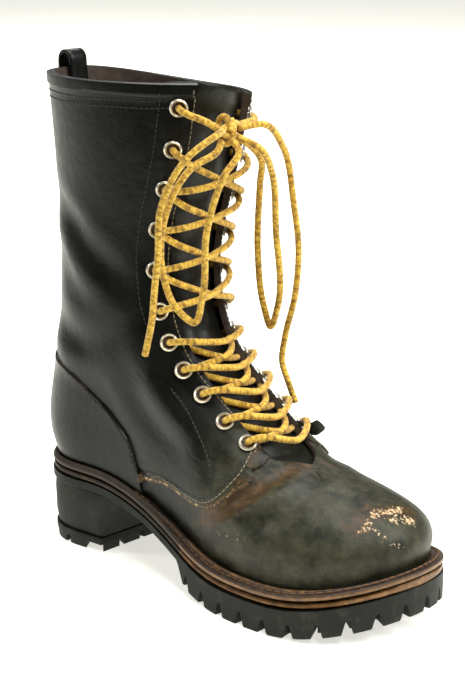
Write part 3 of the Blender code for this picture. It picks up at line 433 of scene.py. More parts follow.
def add_tube_faces(faces, first, rings, sides):
    """Adds the sides and both flat ends of a tube, made of rings of points from the first on."""
    for k in range(rings - 1):
        for turn in range(sides):
            a = first + k * sides + turn
            b = first + k * sides + (turn + 1) % sides
            faces.append((a, b, b + sides, a + sides))
    last = first + (rings - 1) * sides
    faces.append(tuple(first + turn for turn in reversed(range(sides))))
    faces.append(tuple(last + turn for turn in range(sides)))


def length_along(line):
    """Distance along a line of points, at each of them."""
    return np.concatenate([[0.0], np.cumsum(np.linalg.norm(np.diff(line, axis=0), axis=1))])


def at_length(at, length, values):
    """The values at a distance along a line."""
    return np.stack([np.interp(at, length, values[:, k]) for k in range(3)], axis=-1)


def line_through(marks, step):
    """Points of a smooth line through marks, about one step apart."""
    marks = np.array(marks)
    length = length_along(marks)
    slopes = np.gradient(marks, length, axis=0)
    at = np.linspace(0.0, length[-1], max(2, int(round(length[-1] / step)) + 1))
    k = np.clip(np.searchsorted(length, at, "right") - 1, 0, len(length) - 2)
    width = (length[k + 1] - length[k])[:, None]
    u = (at - length[k])[:, None] / width
    return (
        (2 * u**3 - 3 * u**2 + 1) * marks[k]
        + (u**3 - 2 * u**2 + u) * width * slopes[k]
        + (3 * u**2 - 2 * u**3) * marks[k + 1]
        + (u**3 - u**2) * width * slopes[k + 1]
    )


def distance_to(points, line):
    """Distance from each point to a line of close points, and where on the line it is nearest, 0 to 1."""
    best = np.full(len(points), 1e9)
    share = np.zeros(len(points))
    for number, place in enumerate(line):
        apart = np.linalg.norm(points - place, axis=1)
        nearer = apart < best
        best[nearer] = apart[nearer]
        share[nearer] = number / (len(line) - 1)
    return best, share


# Upper: the CAD wall with its folds, worn places and cut edges

Fold = namedtuple("Fold", "width depth marks")

# Troughs, and ridges with a depth below zero: width, depth and (x, y, z) places along each
FOLDS = (
    Fold(0.0060, 0.0016, ((0.118, -0.045, 0.047), (0.138, -0.046, 0.056), (0.152, -0.039, 0.068),
                          (0.160, -0.026, 0.076), (0.163, -0.010, 0.080), (0.162, 0.008, 0.081))),
    Fold(0.0065, -0.0012, ((0.128, -0.047, 0.046), (0.148, -0.047, 0.053), (0.164, -0.040, 0.064),
                           (0.171, -0.026, 0.072), (0.173, -0.008, 0.076), (0.171, 0.012, 0.077))),
    Fold(0.0050, 0.0009, ((0.150, -0.049, 0.044), (0.166, -0.045, 0.056), (0.178, -0.034, 0.066),
                          (0.183, -0.020, 0.070))),
    Fold(0.0060, 0.0014, ((0.120, 0.042, 0.052), (0.140, 0.045, 0.060), (0.154, 0.038, 0.070),
                          (0.161, 0.022, 0.078))),
    Fold(0.0080, 0.0017, ((-0.004, -0.034, 0.216), (0.010, -0.038, 0.207), (0.020, -0.040, 0.202),
                          (0.031, -0.041, 0.190), (0.044, -0.040, 0.180), (0.056, -0.037, 0.172))),
    Fold(0.0090, -0.0013, ((-0.006, -0.033, 0.200), (0.008, -0.037, 0.192), (0.022, -0.040, 0.183),
                           (0.036, -0.039, 0.171), (0.050, -0.036, 0.162))),
    Fold(0.0085, -0.0016, ((0.070, -0.036, 0.122), (0.080, -0.036, 0.110), (0.091, -0.036, 0.103),
                           (0.104, -0.036, 0.097), (0.116, -0.036, 0.088))),
    Fold(0.0100, 0.0014, ((0.050, -0.035, 0.136), (0.062, -0.035, 0.118), (0.076, -0.035, 0.098),
                          (0.094, -0.036, 0.084), (0.112, -0.038, 0.073))),
    Fold(0.0080, 0.0013, ((-0.010, -0.028, 0.150), (0.006, -0.035, 0.140), (0.024, -0.037, 0.134),
                          (0.044, -0.036, 0.138), (0.060, -0.033, 0.148))),
    Fold(0.0085, -0.0011, ((-0.012, -0.027, 0.128), (0.006, -0.034, 0.120), (0.024, -0.036, 0.117),
                           (0.042, -0.036, 0.122))),
    Fold(0.0085, 0.0015, ((-0.006, 0.033, 0.160), (0.012, 0.038, 0.148), (0.032, 0.039, 0.140),
                          (0.052, 0.036, 0.144), (0.066, 0.031, 0.154))),
    Fold(0.0090, -0.0012, ((-0.004, 0.034, 0.184), (0.014, 0.039, 0.172), (0.034, 0.040, 0.164),
                           (0.052, 0.037, 0.168))),
    Fold(0.0090, 0.0013, ((-0.002, 0.035, 0.214), (0.016, 0.040, 0.204), (0.036, 0.041, 0.194),
                          (0.054, 0.038, 0.184))),
    Fold(0.0090, 0.0012, ((0.060, 0.034, 0.120), (0.078, 0.035, 0.104), (0.096, 0.036, 0.092),
                          (0.114, 0.038, 0.082))),
)

# Where the finish is rubbed through to brown, and where the surface is scraped off: radius and strength
Rub = namedtuple("Rub", "radius strength marks")
BROWN_RUBS = (
    Rub(0.0066, 0.88, ((0.117, -0.046, 0.045), (0.136, -0.046, 0.054), (0.150, -0.043, 0.063),
                       (0.158, -0.033, 0.072))),
    Rub(0.0055, 0.70, ((0.158, -0.033, 0.073), (0.163, -0.018, 0.078), (0.164, -0.004, 0.080))),
    Rub(0.0090, 0.52, ((0.216, -0.022, 0.062), (0.220, -0.004, 0.066), (0.226, 0.012, 0.063))),
    Rub(0.0070, 0.70, ((0.120, 0.046, 0.048), (0.142, 0.046, 0.058), (0.156, 0.036, 0.070))),
)
SCRAPES = (
    Rub(0.0042, 0.80, ((0.2200, -0.0220, 0.0600), (0.2205, -0.0150, 0.0632))),
    Rub(0.0050, 0.86, ((0.2195, -0.0090, 0.0652), (0.2215, 0.0000, 0.0655),
                       (0.2235, 0.0070, 0.0648))),
    Rub(0.0052, 0.82, ((0.2262, -0.0040, 0.0620), (0.2285, 0.0040, 0.0608),
                       (0.2310, 0.0090, 0.0590))),
    Rub(0.0036, 0.74, ((0.2250, -0.0150, 0.0600), (0.2300, -0.0140, 0.0565))),
    Rub(0.0040, 0.66, ((0.2330, -0.0120, 0.0530), (0.2350, -0.0040, 0.0500))),
    Rub(0.0035, 0.62, ((0.1410, -0.0470, 0.0440), (0.1560, -0.0480, 0.0460))),
)


# The roll of leather beside a fold, as shares of the fold's depth and width
ROLL_HEIGHT = 0.45
ROLL_PLACE = 1.9
ROLL_WIDTH = 0.75


def folded(points, normals):
    """The points with each fold's trough pressed in and the soft roll of leather beside it raised."""
    centre = np.stack([np.clip(points[:, 0], *WALL_MIDDLE), np.zeros(len(points)), points[:, 2]], axis=1)
    outside = np.sign(((points - centre) * normals).sum(axis=1))
    out = normals * np.where(outside == 0.0, 1.0, outside)[:, None]
    moved = points.copy()
    for fold in FOLDS:
        line = line_through(fold.marks, MARK_STEP)
        near, share = distance_to(points, line)
        t = near / fold.width
        ends = np.sin(math.pi * np.clip(share, 0.02, 0.98)) ** 0.5
        press = -np.exp(-t**2) + ROLL_HEIGHT * np.exp(-(((t - ROLL_PLACE) / ROLL_WIDTH) ** 2))
        moved += out * (fold.depth * press * ends)[:, None]
    return moved


def rubbed(points, rubs):
    """How strongly each point is rubbed, 0 to 1."""
    total = np.zeros(len(points))
    for rub in rubs:
        near, _ = distance_to(points, line_through(rub.marks, MARK_STEP))
        total = np.maximum(total, rub.strength * np.exp(-((near / rub.radius) ** 2)))
    return total


def build_upper():
    obj = copy_of("upper", "leather_upper", (COWHIDE, CUT_EDGE, LINING), 35.0, 0.80, levels=0)
    mark_cut_edges(obj)
    subdivide_smooth(obj, 2)
    points = folded(points_of(obj), normals_of(obj))
    set_points(obj, points)
    x, _, z = points.T
    vamp = ramp_between(*VAMP_FROM, x) * (1.0 - ramp_between(*VAMP_UNDER, z))
    low = 1.0 - ramp_between(*LOW_UNDER, z)
    brush(obj, "dull", 0.02 + 0.88 * vamp + 0.06 * low)
    edge = smooth_side_line(QUARTER_EDGE)
    near, _ = distance_to(points[:, [0, 2]], edge)
    worn = np.exp(-((near / EDGE_WEAR) ** 2))
    brush(obj, "brown", np.maximum(worn, rubbed(points, BROWN_RUBS)))
    brush(obj, "scraped", np.maximum(0.80 * worn, rubbed(points, SCRAPES)))
    shade(obj, 60.0)
    stand_for(obj, "upper")
    return obj


def mark_cut_edges(obj):
    """The narrow faces at the quarters' edges get the cut edge, and the wall's inside gets the lining."""
    bm = bmesh.new()
    bm.from_mesh(obj.data)
    bm.normal_update()
    edge_line = smooth_side_line(QUARTER_EDGE)
    edge_line = edge_line[edge_line[:, 1] < edge_line[:, 1].max() - CUT_EDGE_END]
    for face in bm.faces:
        middle = face.calc_center_median()
        centre = Vector((min(max(middle.x, WALL_MIDDLE[0]), WALL_MIDDLE[1]), 0.0, middle.z))
        shortest = min(edge.calc_length() for edge in face.edges)
        sharp = sum(edge.calc_face_angle(0.0) > math.radians(50) for edge in face.edges)
        apart = min(np.hypot(edge_line[:, 0] - middle.x, edge_line[:, 1] - middle.z))
        if apart < CUT_EDGE_REACH and sharp >= 2 and shortest < CUT_EDGE_WIDTH:
            face.material_index = 1
        elif face.normal.dot(middle - centre) < 0.0:
            face.material_index = 2
    bm.to_mesh(obj.data)
    bm.free()


def surface_tree(obj):
    """A piece's faces, ready for rays."""
    return BVHTree.FromPolygons(
        [v.co.copy() for v in obj.data.vertices], [tuple(p.vertices) for p in obj.data.polygons]
    )


# Soles

def spread_ring(node, high, count):
    """Plan outline of a CAD plate at its top or bottom as evenly spaced points with their heights."""
    points = points_of(NODES[node])
    centre = np.array([points[:, 0].mean(), 0.0])
    keyed = {}
    for point in points:
        key = (round(point[0], 5), round(point[1], 5))
        keyed[key] = max(keyed.get(key, -1.0), point[2]) if high else min(keyed.get(key, 1.0), point[2])
    places = np.array([(x, y, z) for (x, y), z in keyed.items()])
    angle = np.arctan2(places[:, 1] - centre[1], places[:, 0] - centre[0])
    ring = places[np.argsort(angle)]
    closed = np.concatenate([ring[-3:], ring, ring[:4]])
    line = line_through(closed, 0.0004)
    half = len(line) // 2
    start = np.argmin(np.linalg.norm(line[:half] - ring[0], axis=1))
    length = length_along(line[:, :2])
    stop = half + np.argmin(np.linalg.norm(line[half:] - ring[0], axis=1))
    at = np.linspace(length[start], length[stop], count, endpoint=False)
    return at_length(at, length, line)


def moved_in(ring, inset):
    """A ring's points moved inwards in plan."""
    ahead = np.roll(ring, -1, axis=0) - np.roll(ring, 1, axis=0)
    out = np.stack([ahead[:, 1], -ahead[:, 0]], axis=1)
    out /= np.linalg.norm(out, axis=1)[:, None]
    result = ring.copy()
    result[:, :2] -= out * np.reshape(inset, (-1, 1))
    return result


def ring_wall(rings):
    """Points and faces of a closed tube whose cross-section runs through the rings in order."""
    n = len(rings[0])
    verts = np.concatenate(rings)
    faces = []
    for k in range(len(rings)):
        following = (k + 1) % len(rings)
        for i in range(n):
            j = (i + 1) % n
            faces.append((k * n + i, k * n + j, following * n + j, following * n + i))
    return verts, faces


def build_welt_and_midsole():
    """Welt and midsole: bright edges round the forepart, dark ones behind, and the welt's rubbed bead."""
    welt = copy_of("welt", "stitched_welt", (WELT_TOP, WELT_BEAD, MIDSOLE_EDGE, ARCH_EDGE), 28.0, 0.35)
    flat = np.abs([p.normal.z for p in welt.data.polygons])
    centres = np.array([tuple(p.center) for p in welt.data.polygons])
    bright = centres[:, 0] > BRIGHT_FROM
    under = spread_ring("midsole", True, 400)
    nearest = [np.argmin(np.hypot(*(under[:, :2] - centre[:2]).T)) for centre in centres]
    standing = centres[:, 2] - under[nearest, 2] > WELT_TOP_RISE
    finish = np.where(flat > 0.86, 0, np.where((flat < 0.30) & bright, 2, np.where(bright, 0, 3)))
    finish[standing & bright] = 1
    welt.data.polygons.foreach_set("material_index", finish)
    shade(welt, 50.0)
    stand_for(welt, "welt")
    midsole = copy_of("midsole", "stacked_midsole", (MIDSOLE_EDGE, ARCH_EDGE), 40.0, 0.35)
    back = np.array([p.center.x for p in midsole.data.polygons]) < BRIGHT_FROM
    midsole.data.polygons.foreach_set("material_index", back.astype(int))
    shade(midsole, 50.0)
    stand_for(midsole, "midsole")


def build_outsole():
    """Rubber bottom: a moulded rim cut by V-shaped notches round the forepart, thin through the arch."""
    ring = spread_ring("midsole", False, RIM_POINTS)
    ring[:, 2] -= RIM_GAP
    length = np.linalg.norm(np.roll(ring, -1, axis=0)[:, :2] - ring[:, :2], axis=1).sum()
    pitch = length / round(length / TREAD_PITCH)
    along = np.arange(RIM_POINTS) * length / RIM_POINTS
    from_notch = np.abs((along / pitch) % 1.0 - 0.5) * pitch
    notch = np.clip((TREAD_NOTCH - from_notch) / (TREAD_NOTCH - TREAD_NOTCH_TOP), 0.0, 1.0)
    fore = ramp_between(*FOREPART, ring[:, 0])
    bottom = ring[:, 2] - SHANK_THICKNESS + (NOTCH_RISE * notch - TREAD_DROP) * fore
    rims = []
    for inset, level in ((0.0, ring[:, 2]), (0.0, bottom + RIM_CHAMFER), (RIM_CHAMFER, bottom),
                         (TREAD_REACH, bottom), (TREAD_REACH, ring[:, 2])):
        rim = moved_in(ring, inset)
        rim[:, 2] = level
        rims.append(rim)
    verts, faces = ring_wall(rims)
    obj = new_piece("lugged_outsole", verts, faces, (RUBBER,))
    outward(obj)
    shade(obj, 30.0)
    floor = copy_of("outsole", "tread_floor", (RUBBER,), levels=0)
    points = points_of(floor)
    points[:, :2] = TREAD_CENTRE + (points[:, :2] - TREAD_CENTRE) * TREAD_SCALE
    set_points(floor, points)
    select_only(obj)
    floor.select_set(True)
    bpy.ops.object.join()
    stand_for(obj, "outsole")


def build_heel():
    block = copy_of("heel_block", "undershot_heel", (RUBBER,), 40.0, 0.6)
    shade(block, 50.0)
    stand_for(block, "heel_block")
    lift = copy_of("heel_lift", "heel_top_piece", (RUBBER,), levels=0)
    bevel = lift.modifiers.new("Edges", "BEVEL")
    bevel.width = LIFT_BEVEL
    bevel.segments = 2
    apply_modifiers(lift)
    shade(lift, 40.0)
    stand_for(lift, "heel_lift")


# The tongue between the lowest lace and its top edge, and how far the lace presses it in
TONGUE_FREE_FROM = (0.100, 0.125)
TONGUE_FREE_TO = (0.262, 0.282)
TONGUE_MIDDLE = 0.023
TONGUE_PRESS = 0.0028
TONGUE_FORWARD = np.array([0.85, 0.0, 0.53])


def build_tongue():
    """Soft tongue, pressed in by the lace and puckered along its middle."""
    obj = copy_of("tongue", "soft_tongue", (COWHIDE,), 40.0, 0.3)
    points = points_of(obj)
    _, y, z = points.T
    ripple = 0.0006 * np.sin(z * 300.0 + 40.0 * y) + 0.0005 * np.sin(y * 420.0)
    middle = np.exp(-((y / TONGUE_MIDDLE) ** 2))
    under = ramp_between(*TONGUE_FREE_FROM, z) * (1.0 - ramp_between(*TONGUE_FREE_TO, z))
    points = points + TONGUE_FORWARD * ((ripple - TONGUE_PRESS) * middle * under)[:, None]
    set_points(obj, points)
    brush(obj, "dull", np.full(len(points), 0.15))
    brush(obj, "brown", 0.10 * middle)
    shade(obj, 60.0)
    stand_for(obj, "tongue")


TAB_STEPS = 8
TAB_LENGTH = 0.0115
TAB_BEND = 1.7
TAB_WIDTH = 0.0080
TAB_THICKNESS = 0.0020
TAB_DIRECTION = (0.70, -0.50, -0.59)
TAB_START = 0.0050
TAB_SINK = 0.0006
TAB_NARROWS = 0.30


def build_curled_tab(eyelet):
    """The worn corner of the inner facing, curled up beside the lowest bar of lace."""
    centre, axis = eyelet
    down = np.array(TAB_DIRECTION)
    down -= axis * (down @ axis)
    down /= np.linalg.norm(down)
    side = np.cross(axis, down)
    verts, faces = [], []
    for k in range(TAB_STEPS + 1):
        share = k / TAB_STEPS
        bend = TAB_BEND * share**1.2
        along = TAB_START + TAB_LENGTH * math.sin(bend) / TAB_BEND
        rise = TAB_LENGTH * (1.0 - math.cos(bend)) / TAB_BEND - TAB_SINK
        width = TAB_WIDTH * (1.0 - TAB_NARROWS * share)
        for across, thick in ((-width, 0.0), (width, 0.0), (width, TAB_THICKNESS), (-width, TAB_THICKNESS)):
            verts.append(centre + down * along + side * across + axis * (rise + thick))
    for k in range(TAB_STEPS):
        for turn in range(4):
            a, b = 4 * k + turn, 4 * k + (turn + 1) % 4
            faces.append((a, b, b + 4, a + 4))
    last = 4 * TAB_STEPS
    faces += [(3, 2, 1, 0), (last, last + 1, last + 2, last + 3)]
    obj = new_piece("curled_facing_tab", verts, faces, (COWHIDE,))
    outward(obj)
    crease_edges(obj.data, 60.0, 0.6)
    subdivide_smooth(obj, 2)
    brush(obj, "dull", np.full(len(obj.data.vertices), 0.3))
    shade(obj, 50.0)
    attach(obj, "root")


def build_pull_loop():
    obj = copy_of("pull_loop", "leather_pull_loop", (COWHIDE,), 50.0, 0.5)
    shade(obj, 60.0)
    stand_for(obj, "pull_loop")


# Stitching

STITCH_SIDES = 6
STITCH_SHAPE = ((-0.5, 0.25), (-0.38, 0.9), (0.0, 1.0), (0.38, 0.9), (0.5, 0.25))
STITCH_FILL = 0.80
ROW_STEP = 0.001


def stitches(name, places, normals, pitch, radius, finish):
    """A row of sewn stitches: short round-ended pieces of thread lying on the leather."""
    length = length_along(places)
    count = max(1, int(length[-1] / pitch))
    verts, faces = [], []
    for number in range(count):
        at = (number + 0.5) * pitch
        middle = at_length(at, length, places)
        ahead = at_length(at + ROW_STEP, length, places) - middle
        out = at_length(at, length, normals)
        ahead /= np.linalg.norm(ahead) + 1e-12
        out /= np.linalg.norm(out) + 1e-12
        side = np.cross(out, ahead)
        first = len(verts)
        for share, girth in STITCH_SHAPE:
            ring_centre = middle + ahead * share * pitch * STITCH_FILL + out * radius * (0.55 * girth - 0.25)
            for turn in range(STITCH_SIDES):
                angle = 2 * math.pi * turn / STITCH_SIDES
                around = side * math.cos(angle) + out * math.sin(angle)
                verts.append(ring_centre + radius * girth * around)
        add_tube_faces(faces, first, len(STITCH_SHAPE), STITCH_SIDES)
    obj = new_piece(name, verts, faces, (finish,))
    shade(obj, 60.0)
    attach(obj, "root")
    return obj


def laid_on(tree, line, side, off_middle=-1.0):
    """A line of side-view places dropped on to one side of the upper, with the leather's directions.
    Places nearer to the middle than off_middle are left out."""
    places, normals = [], []
    for x, z in line:
        start = Vector((x, side * RAY_START, z))
        hit, normal, _, _ = tree.ray_cast(start, Vector((0.0, -side, 0.0)))
        if hit and hit.y * side > off_middle:
            places.append(np.array(hit))
            normals.append(np.array(normal))
    return np.array(places), np.array(normals)


# Lines in the side view, as (x, z) places
QUARTER_EDGE = (
    (0.1444, 0.0895), (0.1488, 0.0782), (0.1438, 0.0669), (0.1301, 0.0566),
    (0.1120, 0.0549), (0.0854, 0.0579), (0.0655, 0.0554),
)
QUARTER_ROW = (
    (0.1440, 0.0875), (0.1456, 0.0795), (0.1412, 0.0695), (0.1295, 0.0598),
    (0.1120, 0.0582), (0.0860, 0.0612), (0.0680, 0.0592),
)
COUNTER_ROW = (
    (-0.0080, 0.1195), (0.0125, 0.1085), (0.0245, 0.0996), (0.0385, 0.0915),
    (0.0490, 0.0815), (0.0555, 0.0750), (0.0605, 0.0620),
)
EYESTAY_ROW = (
    (0.0905, 0.1154), (0.1020, 0.1069), (0.1155, 0.0927), (0.1260, 0.0790),
    (0.1320, 0.0650),
)


def smooth_side_line(marks):
    return line_through([(x, z, 0.0) for x, z in marks], ROW_STEP)[:, :2]


# Name, line, shift back and up, and thread of the rows on each side of the boot
SIDE_ROWS = (
    ("quarter", QUARTER_ROW, 0.0, PALE_THREAD),
    ("quarter_second", QUARTER_ROW, 0.0026, BLACK_THREAD),
    ("counter", COUNTER_ROW, 0.0, BLACK_THREAD),
    ("counter_second", COUNTER_ROW, -0.0028, BLACK_THREAD),
    ("eyestay", EYESTAY_ROW, 0.0, BLACK_THREAD),
    ("eyestay_second", EYESTAY_ROW, -0.0026, BLACK_THREAD),
)
ROW_SHIFT_WAY = np.array([-0.7, 0.7])
ROW_PAST_TOP = 0.45
THROAT_ROW_AHEAD = 0.0048
EYELET_ROW_BEHIND = 0.0090
EYELET_ROW_FIRST = 4
FACING_EDGE = 0.012


def build_stitching(tree, eyelets):
    for side, word in ((-1.0, "outer"), (1.0, "inner")):
        for label, marks, shift, finish in SIDE_ROWS:
            line = smooth_side_line(marks) + ROW_SHIFT_WAY * shift
            places, normals = laid_on(tree, line, side)
            stitches(f"stitches_{label}_{word}", places, normals, SHAFT_STITCH, THREAD_RADIUS, finish)
        near_thread = PALE_THREAD if side < 0 else BLACK_THREAD
        for label, back, first, finish in (
            ("throat", -THROAT_ROW_AHEAD, 0, near_thread),
            ("eyelet_back", EYELET_ROW_BEHIND, EYELET_ROW_FIRST, BLACK_THREAD),
        ):
            marks = [place - np.array([back, 0.0, 0.0]) for place, _ in eyelets[word]][first:]
            top = marks[-1] + (marks[-1] - marks[-2]) * ROW_PAST_TOP
            line = line_through([*marks, top], ROW_STEP)
            places, normals = laid_on(tree, line[:, [0, 2]], side, FACING_EDGE)
            stitches(f"stitches_{label}_{word}", places, normals, SHAFT_STITCH, THREAD_RADIUS, finish)
    collar_stitches(tree)


# Rows below the collar's edge, found by rays towards the shaft's middle from all round it
COLLAR_ROWS = (("binding", 0.0096), ("collar", 0.0135))
COLLAR_DEGREES = np.arange(28.0, 333.0, 0.8)
COLLAR_LEVELS = np.arange(0.292, 0.262, -0.0004)
SHAFT_MIDDLE_X = 0.033
SHAFT_REACH = 0.090
COLLAR_REACH = 0.060


def collar_stitches(tree):
    """Two rows below the collar's binding, from one side of the throat round the back to the other."""
    for label, drop in COLLAR_ROWS:
        places, normals = [], []
        for degrees in COLLAR_DEGREES:
            out = Vector((math.cos(math.radians(degrees)), math.sin(math.radians(degrees)), 0.0))
            start = Vector((SHAFT_MIDDLE_X, 0.0, 0.0)) + out * SHAFT_REACH
            top = next((z for z in COLLAR_LEVELS
                        if tree.ray_cast(Vector((start.x, start.y, z)), -out, COLLAR_REACH)[0]), None)
            if top is None:
                continue
            hit, normal, _, _ = tree.ray_cast(Vector((start.x, start.y, top - drop)), -out)
            if hit and normal.dot(out) > 0.2:
                places.append(np.array(hit))
                normals.append(np.array(normal))
        stitches(f"stitches_{label}", np.array(places), np.array(normals),
                 SHAFT_STITCH, THREAD_RADIUS, BLACK_THREAD)


WELT_ROW_INSET = 0.0032
WELT_ROW_RISE = 0.0041
WELT_ROW_FROM = 0.060
WELT_ROW_GAP = 0.010


def welt_stitches():
    """The lockstitch on the welt's top, from arch to arch round the toe."""
    ring = moved_in(spread_ring("midsole", True, 900), WELT_ROW_INSET)
    ring = ring[ring[:, 0] > WELT_ROW_FROM]
    steps = np.linalg.norm(np.diff(ring, axis=0), axis=1)
    gap = np.argmax(steps)
    if steps[gap] > WELT_ROW_GAP:
        ring = np.roll(ring, -(gap + 1), axis=0)
    ring[:, 2] += WELT_ROW_RISE
    normals = np.tile([0.0, 0.0, 1.0], (len(ring), 1))
    stitches("welt_lockstitch", ring, normals, WELT_STITCH, WELT_THREAD, WELT_THREAD_FINISH)


# Eyelets and lace

# Radius and height of the rolled rim and its throat
EYELET_PROFILE = (
    (0.0025, -0.0040), (0.0025, 0.0000), (0.0050, 0.0000), (0.0052, 0.0004), (0.0049, 0.0010),
    (0.0044, 0.0013), (0.0039, 0.0011), (0.0036, 0.0005), (0.0030, 0.0002), (0.0023, 0.0000),
    (0.0021, -0.0040),
)
EYELET_RIM_RINGS = 7
EYELET_SIDES = 24
CAD_RIM_FROM = 0.0043


def eyelet_frame(node):
    """The middle of a CAD eyelet's flange and its direction out of the leather."""
    points = points_of(NODES[node])
    middle = (points.min(axis=0) + points.max(axis=0)) / 2
    values, vectors = np.linalg.eigh(np.cov((points - points.mean(axis=0)).T))
    odd = int(np.argmax([abs(values[k] - (values.sum() - values[k]) / 2) for k in range(3)]))
    axis = vectors[:, odd]
    radial = (points - middle) - np.outer((points - middle) @ axis, axis)
    rim = points[np.linalg.norm(radial, axis=1) > CAD_RIM_FROM]
    if (rim.mean(axis=0) - points.mean(axis=0)) @ axis < 0:
        axis = -axis
    return rim.mean(axis=0), axis


def build_eyelets():
    """A turned eyelet in the place of each CAD one, and where they sit on each side."""
    places = {"outer": [], "inner": []}
    angle = np.linspace(0.0, 2 * math.pi, EYELET_SIDES, endpoint=False)[:, None]
    for word, found in places.items():
        for number in range(1, EYELET_PAIRS + 1):
            node = f"eyelet_{word}_{number:02d}"
            centre, axis = eyelet_frame(node)
            found.append((centre, axis))
            u = np.cross(axis, (0.0, 0.0, 1.0))
            u /= np.linalg.norm(u)
            v = np.cross(axis, u)
            around = u * np.cos(angle) + v * np.sin(angle)
            rings = [centre + axis * rise + radius * around for radius, rise in EYELET_PROFILE]
            verts, faces = ring_wall(rings)
            # the rim's outside is nickel; from where it turns into the hole it takes the dark brown painted
            # shade
            finish = [0 if k // EYELET_SIDES < EYELET_RIM_RINGS else 1 for k in range(len(faces))]
            obj = new_piece(f"nickel_{node}", verts, faces, (NICKEL, EYELET_HOLE_SHADE), finish)
            outward(obj)
            shade(obj, 50.0)
            stand_for(obj, node)
    return places


def cord_mesh(name, lines):
    """Round cords along lines of points, each closed at its ends, with a map that runs along them."""
    verts, faces, spread = [], [], []
    for line in lines:
        line = np.asarray(line)
        ahead = np.gradient(line, axis=0)
        ahead /= np.linalg.norm(ahead, axis=1)[:, None]
        length = length_along(line)
        u = np.cross(ahead[0], (0.3, 1.0, 0.2))
        first = len(verts)
        for point, direction, at in zip(line, ahead, length):
            u = u - direction * (u @ direction)
            u /= np.linalg.norm(u)
            v = np.cross(direction, u)
            swell = LACE_RADIUS * (1.0 + LACE_SWELL * math.sin(at * LACE_SWELL_WAVES))
            for turn in range(LACE_SIDES):
                angle = 2 * math.pi * turn / LACE_SIDES
                verts.append(point + swell * (u * math.cos(angle) + v * math.sin(angle)))
        add_tube_faces(faces, first, len(line), LACE_SIDES)
        for k in range(len(line) - 1):
            for turn in range(LACE_SIDES):
                for corner, place in ((turn, k), (turn + 1, k), (turn + 1, k + 1), (turn, k + 1)):
                    spread.append((corner / LACE_SIDES, length[place]))
        spread += [(turn / LACE_SIDES, 0.0) for turn in range(LACE_SIDES)]
        spread += [(turn / LACE_SIDES, length[-1]) for turn in range(LACE_SIDES)]
    obj = new_piece(name, verts, faces, (LACE,))
    layer = obj.data.uv_layers.new(name="along_lace")
    layer.data.foreach_set("uv", np.array(spread).reshape(-1))
    obj.data.shade_smooth()
    return obj


def middle_of(node):
    """Centre of a CAD lace where it crosses the boot's front line."""
    points = points_of(NODES[node])
    middle = (points[:, 1].min() + points[:, 1].max()) / 2
    near = points[np.abs(points[:, 1] - middle) < 0.005]
    return near.mean(axis=0)


# A lace's way out of an eyelet: height above the flange, and distance towards the next one
LACE_PASSAGE = ((-0.0072, 0.0), (-0.0020, 0.0), (0.0014, 0.0006), (0.0032, 0.0046))


def out_of(eyelet, towards):
    """Marks of a lace that comes from inside the boot, through an eyelet and away over its rim."""
    centre, axis = eyelet
    away = towards - centre
    away -= axis * (away @ axis)
    away /= np.linalg.norm(away)
    return [centre + axis * rise + away * along for rise, along in LACE_PASSAGE]


def between(first, middle, second):
    """Marks of a lace from one eyelet over a middle place to the other."""
    return [*out_of(first, middle), middle, *out_of(second, middle)[::-1]]


# How far the bars sway and sag, how deep the strands under them lie, and how far crossed strands stand apart
BAR_SWAY = 0.0030
BAR_SAG = 0.0012
STRAND_DEPTH = 0.0045
STRAND_STEP = 0.0030
STRAND_START = 0.0030
CROSSING_APART = 0.0020
INSTEP_OUT = np.array([0.80, 0.0, 0.60])
SHAFT_OUT = np.array([0.95, 0.0, 0.20])
SHAFT_TOP_OUT = np.array([0.95, 0.0, -0.10])
TOP_CROSSINGS_FROM = 8


def build_laces(eyelets):
    """Bars with crossed strands under them on the instep, then crossings up the shaft, and the knot."""
    outer, inner = eyelets["outer"], eyelets["inner"]
    middles = [middle_of(f"lace_bar_{k + 1}") for k in range(BAR_ROWS)]
    for k in range(BAR_ROWS):
        droop = np.array([0.0, DRAW.uniform(-BAR_SWAY, BAR_SWAY), -BAR_SAG])
        lines = [line_through(between(outer[k], middles[k] + droop, inner[k]), 0.0010)]
        if k + 1 < BAR_ROWS:
            under = (middles[k] + middles[k + 1]) / 2
            for number, (first, second) in enumerate(((outer[k], inner[k + 1]), (inner[k], outer[k + 1]))):
                marks = [first[0] - first[1] * STRAND_START,
                         under - INSTEP_OUT * (STRAND_DEPTH + STRAND_STEP * number),
                         second[0] - second[1] * STRAND_START]
                lines.append(line_through(marks, 0.0012))
        stand_for(cord_mesh(f"lace_row_{k + 1}", lines), f"lace_bar_{k + 1}")
    for k in range(BAR_ROWS, EYELET_PAIRS - 2):
        node = f"lace_crossing_{k + 1 - BAR_ROWS}"
        centre = middle_of(node)
        apart = (SHAFT_TOP_OUT if k >= TOP_CROSSINGS_FROM else SHAFT_OUT) * CROSSING_APART
        lines = [
            line_through(between(outer[k], centre + apart, inner[k + 1]), 0.0010),
            line_through(between(inner[k], centre - apart, outer[k + 1]), 0.0010),
        ]
        stand_for(cord_mesh(f"lace_cross_{k + 1 - BAR_ROWS}", lines), node)
    build_knot(outer, inner)


KNOT_PLACE = np.array([0.1085, -0.0070, 0.2600])
KNOT_SIZE = np.array([0.0055, 0.0080, 0.0075])
KNOT_GAP = 0.0006
BAND_TURNS = 1.15
BAND_FRONT = 0.0052
BAND_HEIGHT = 0.0074


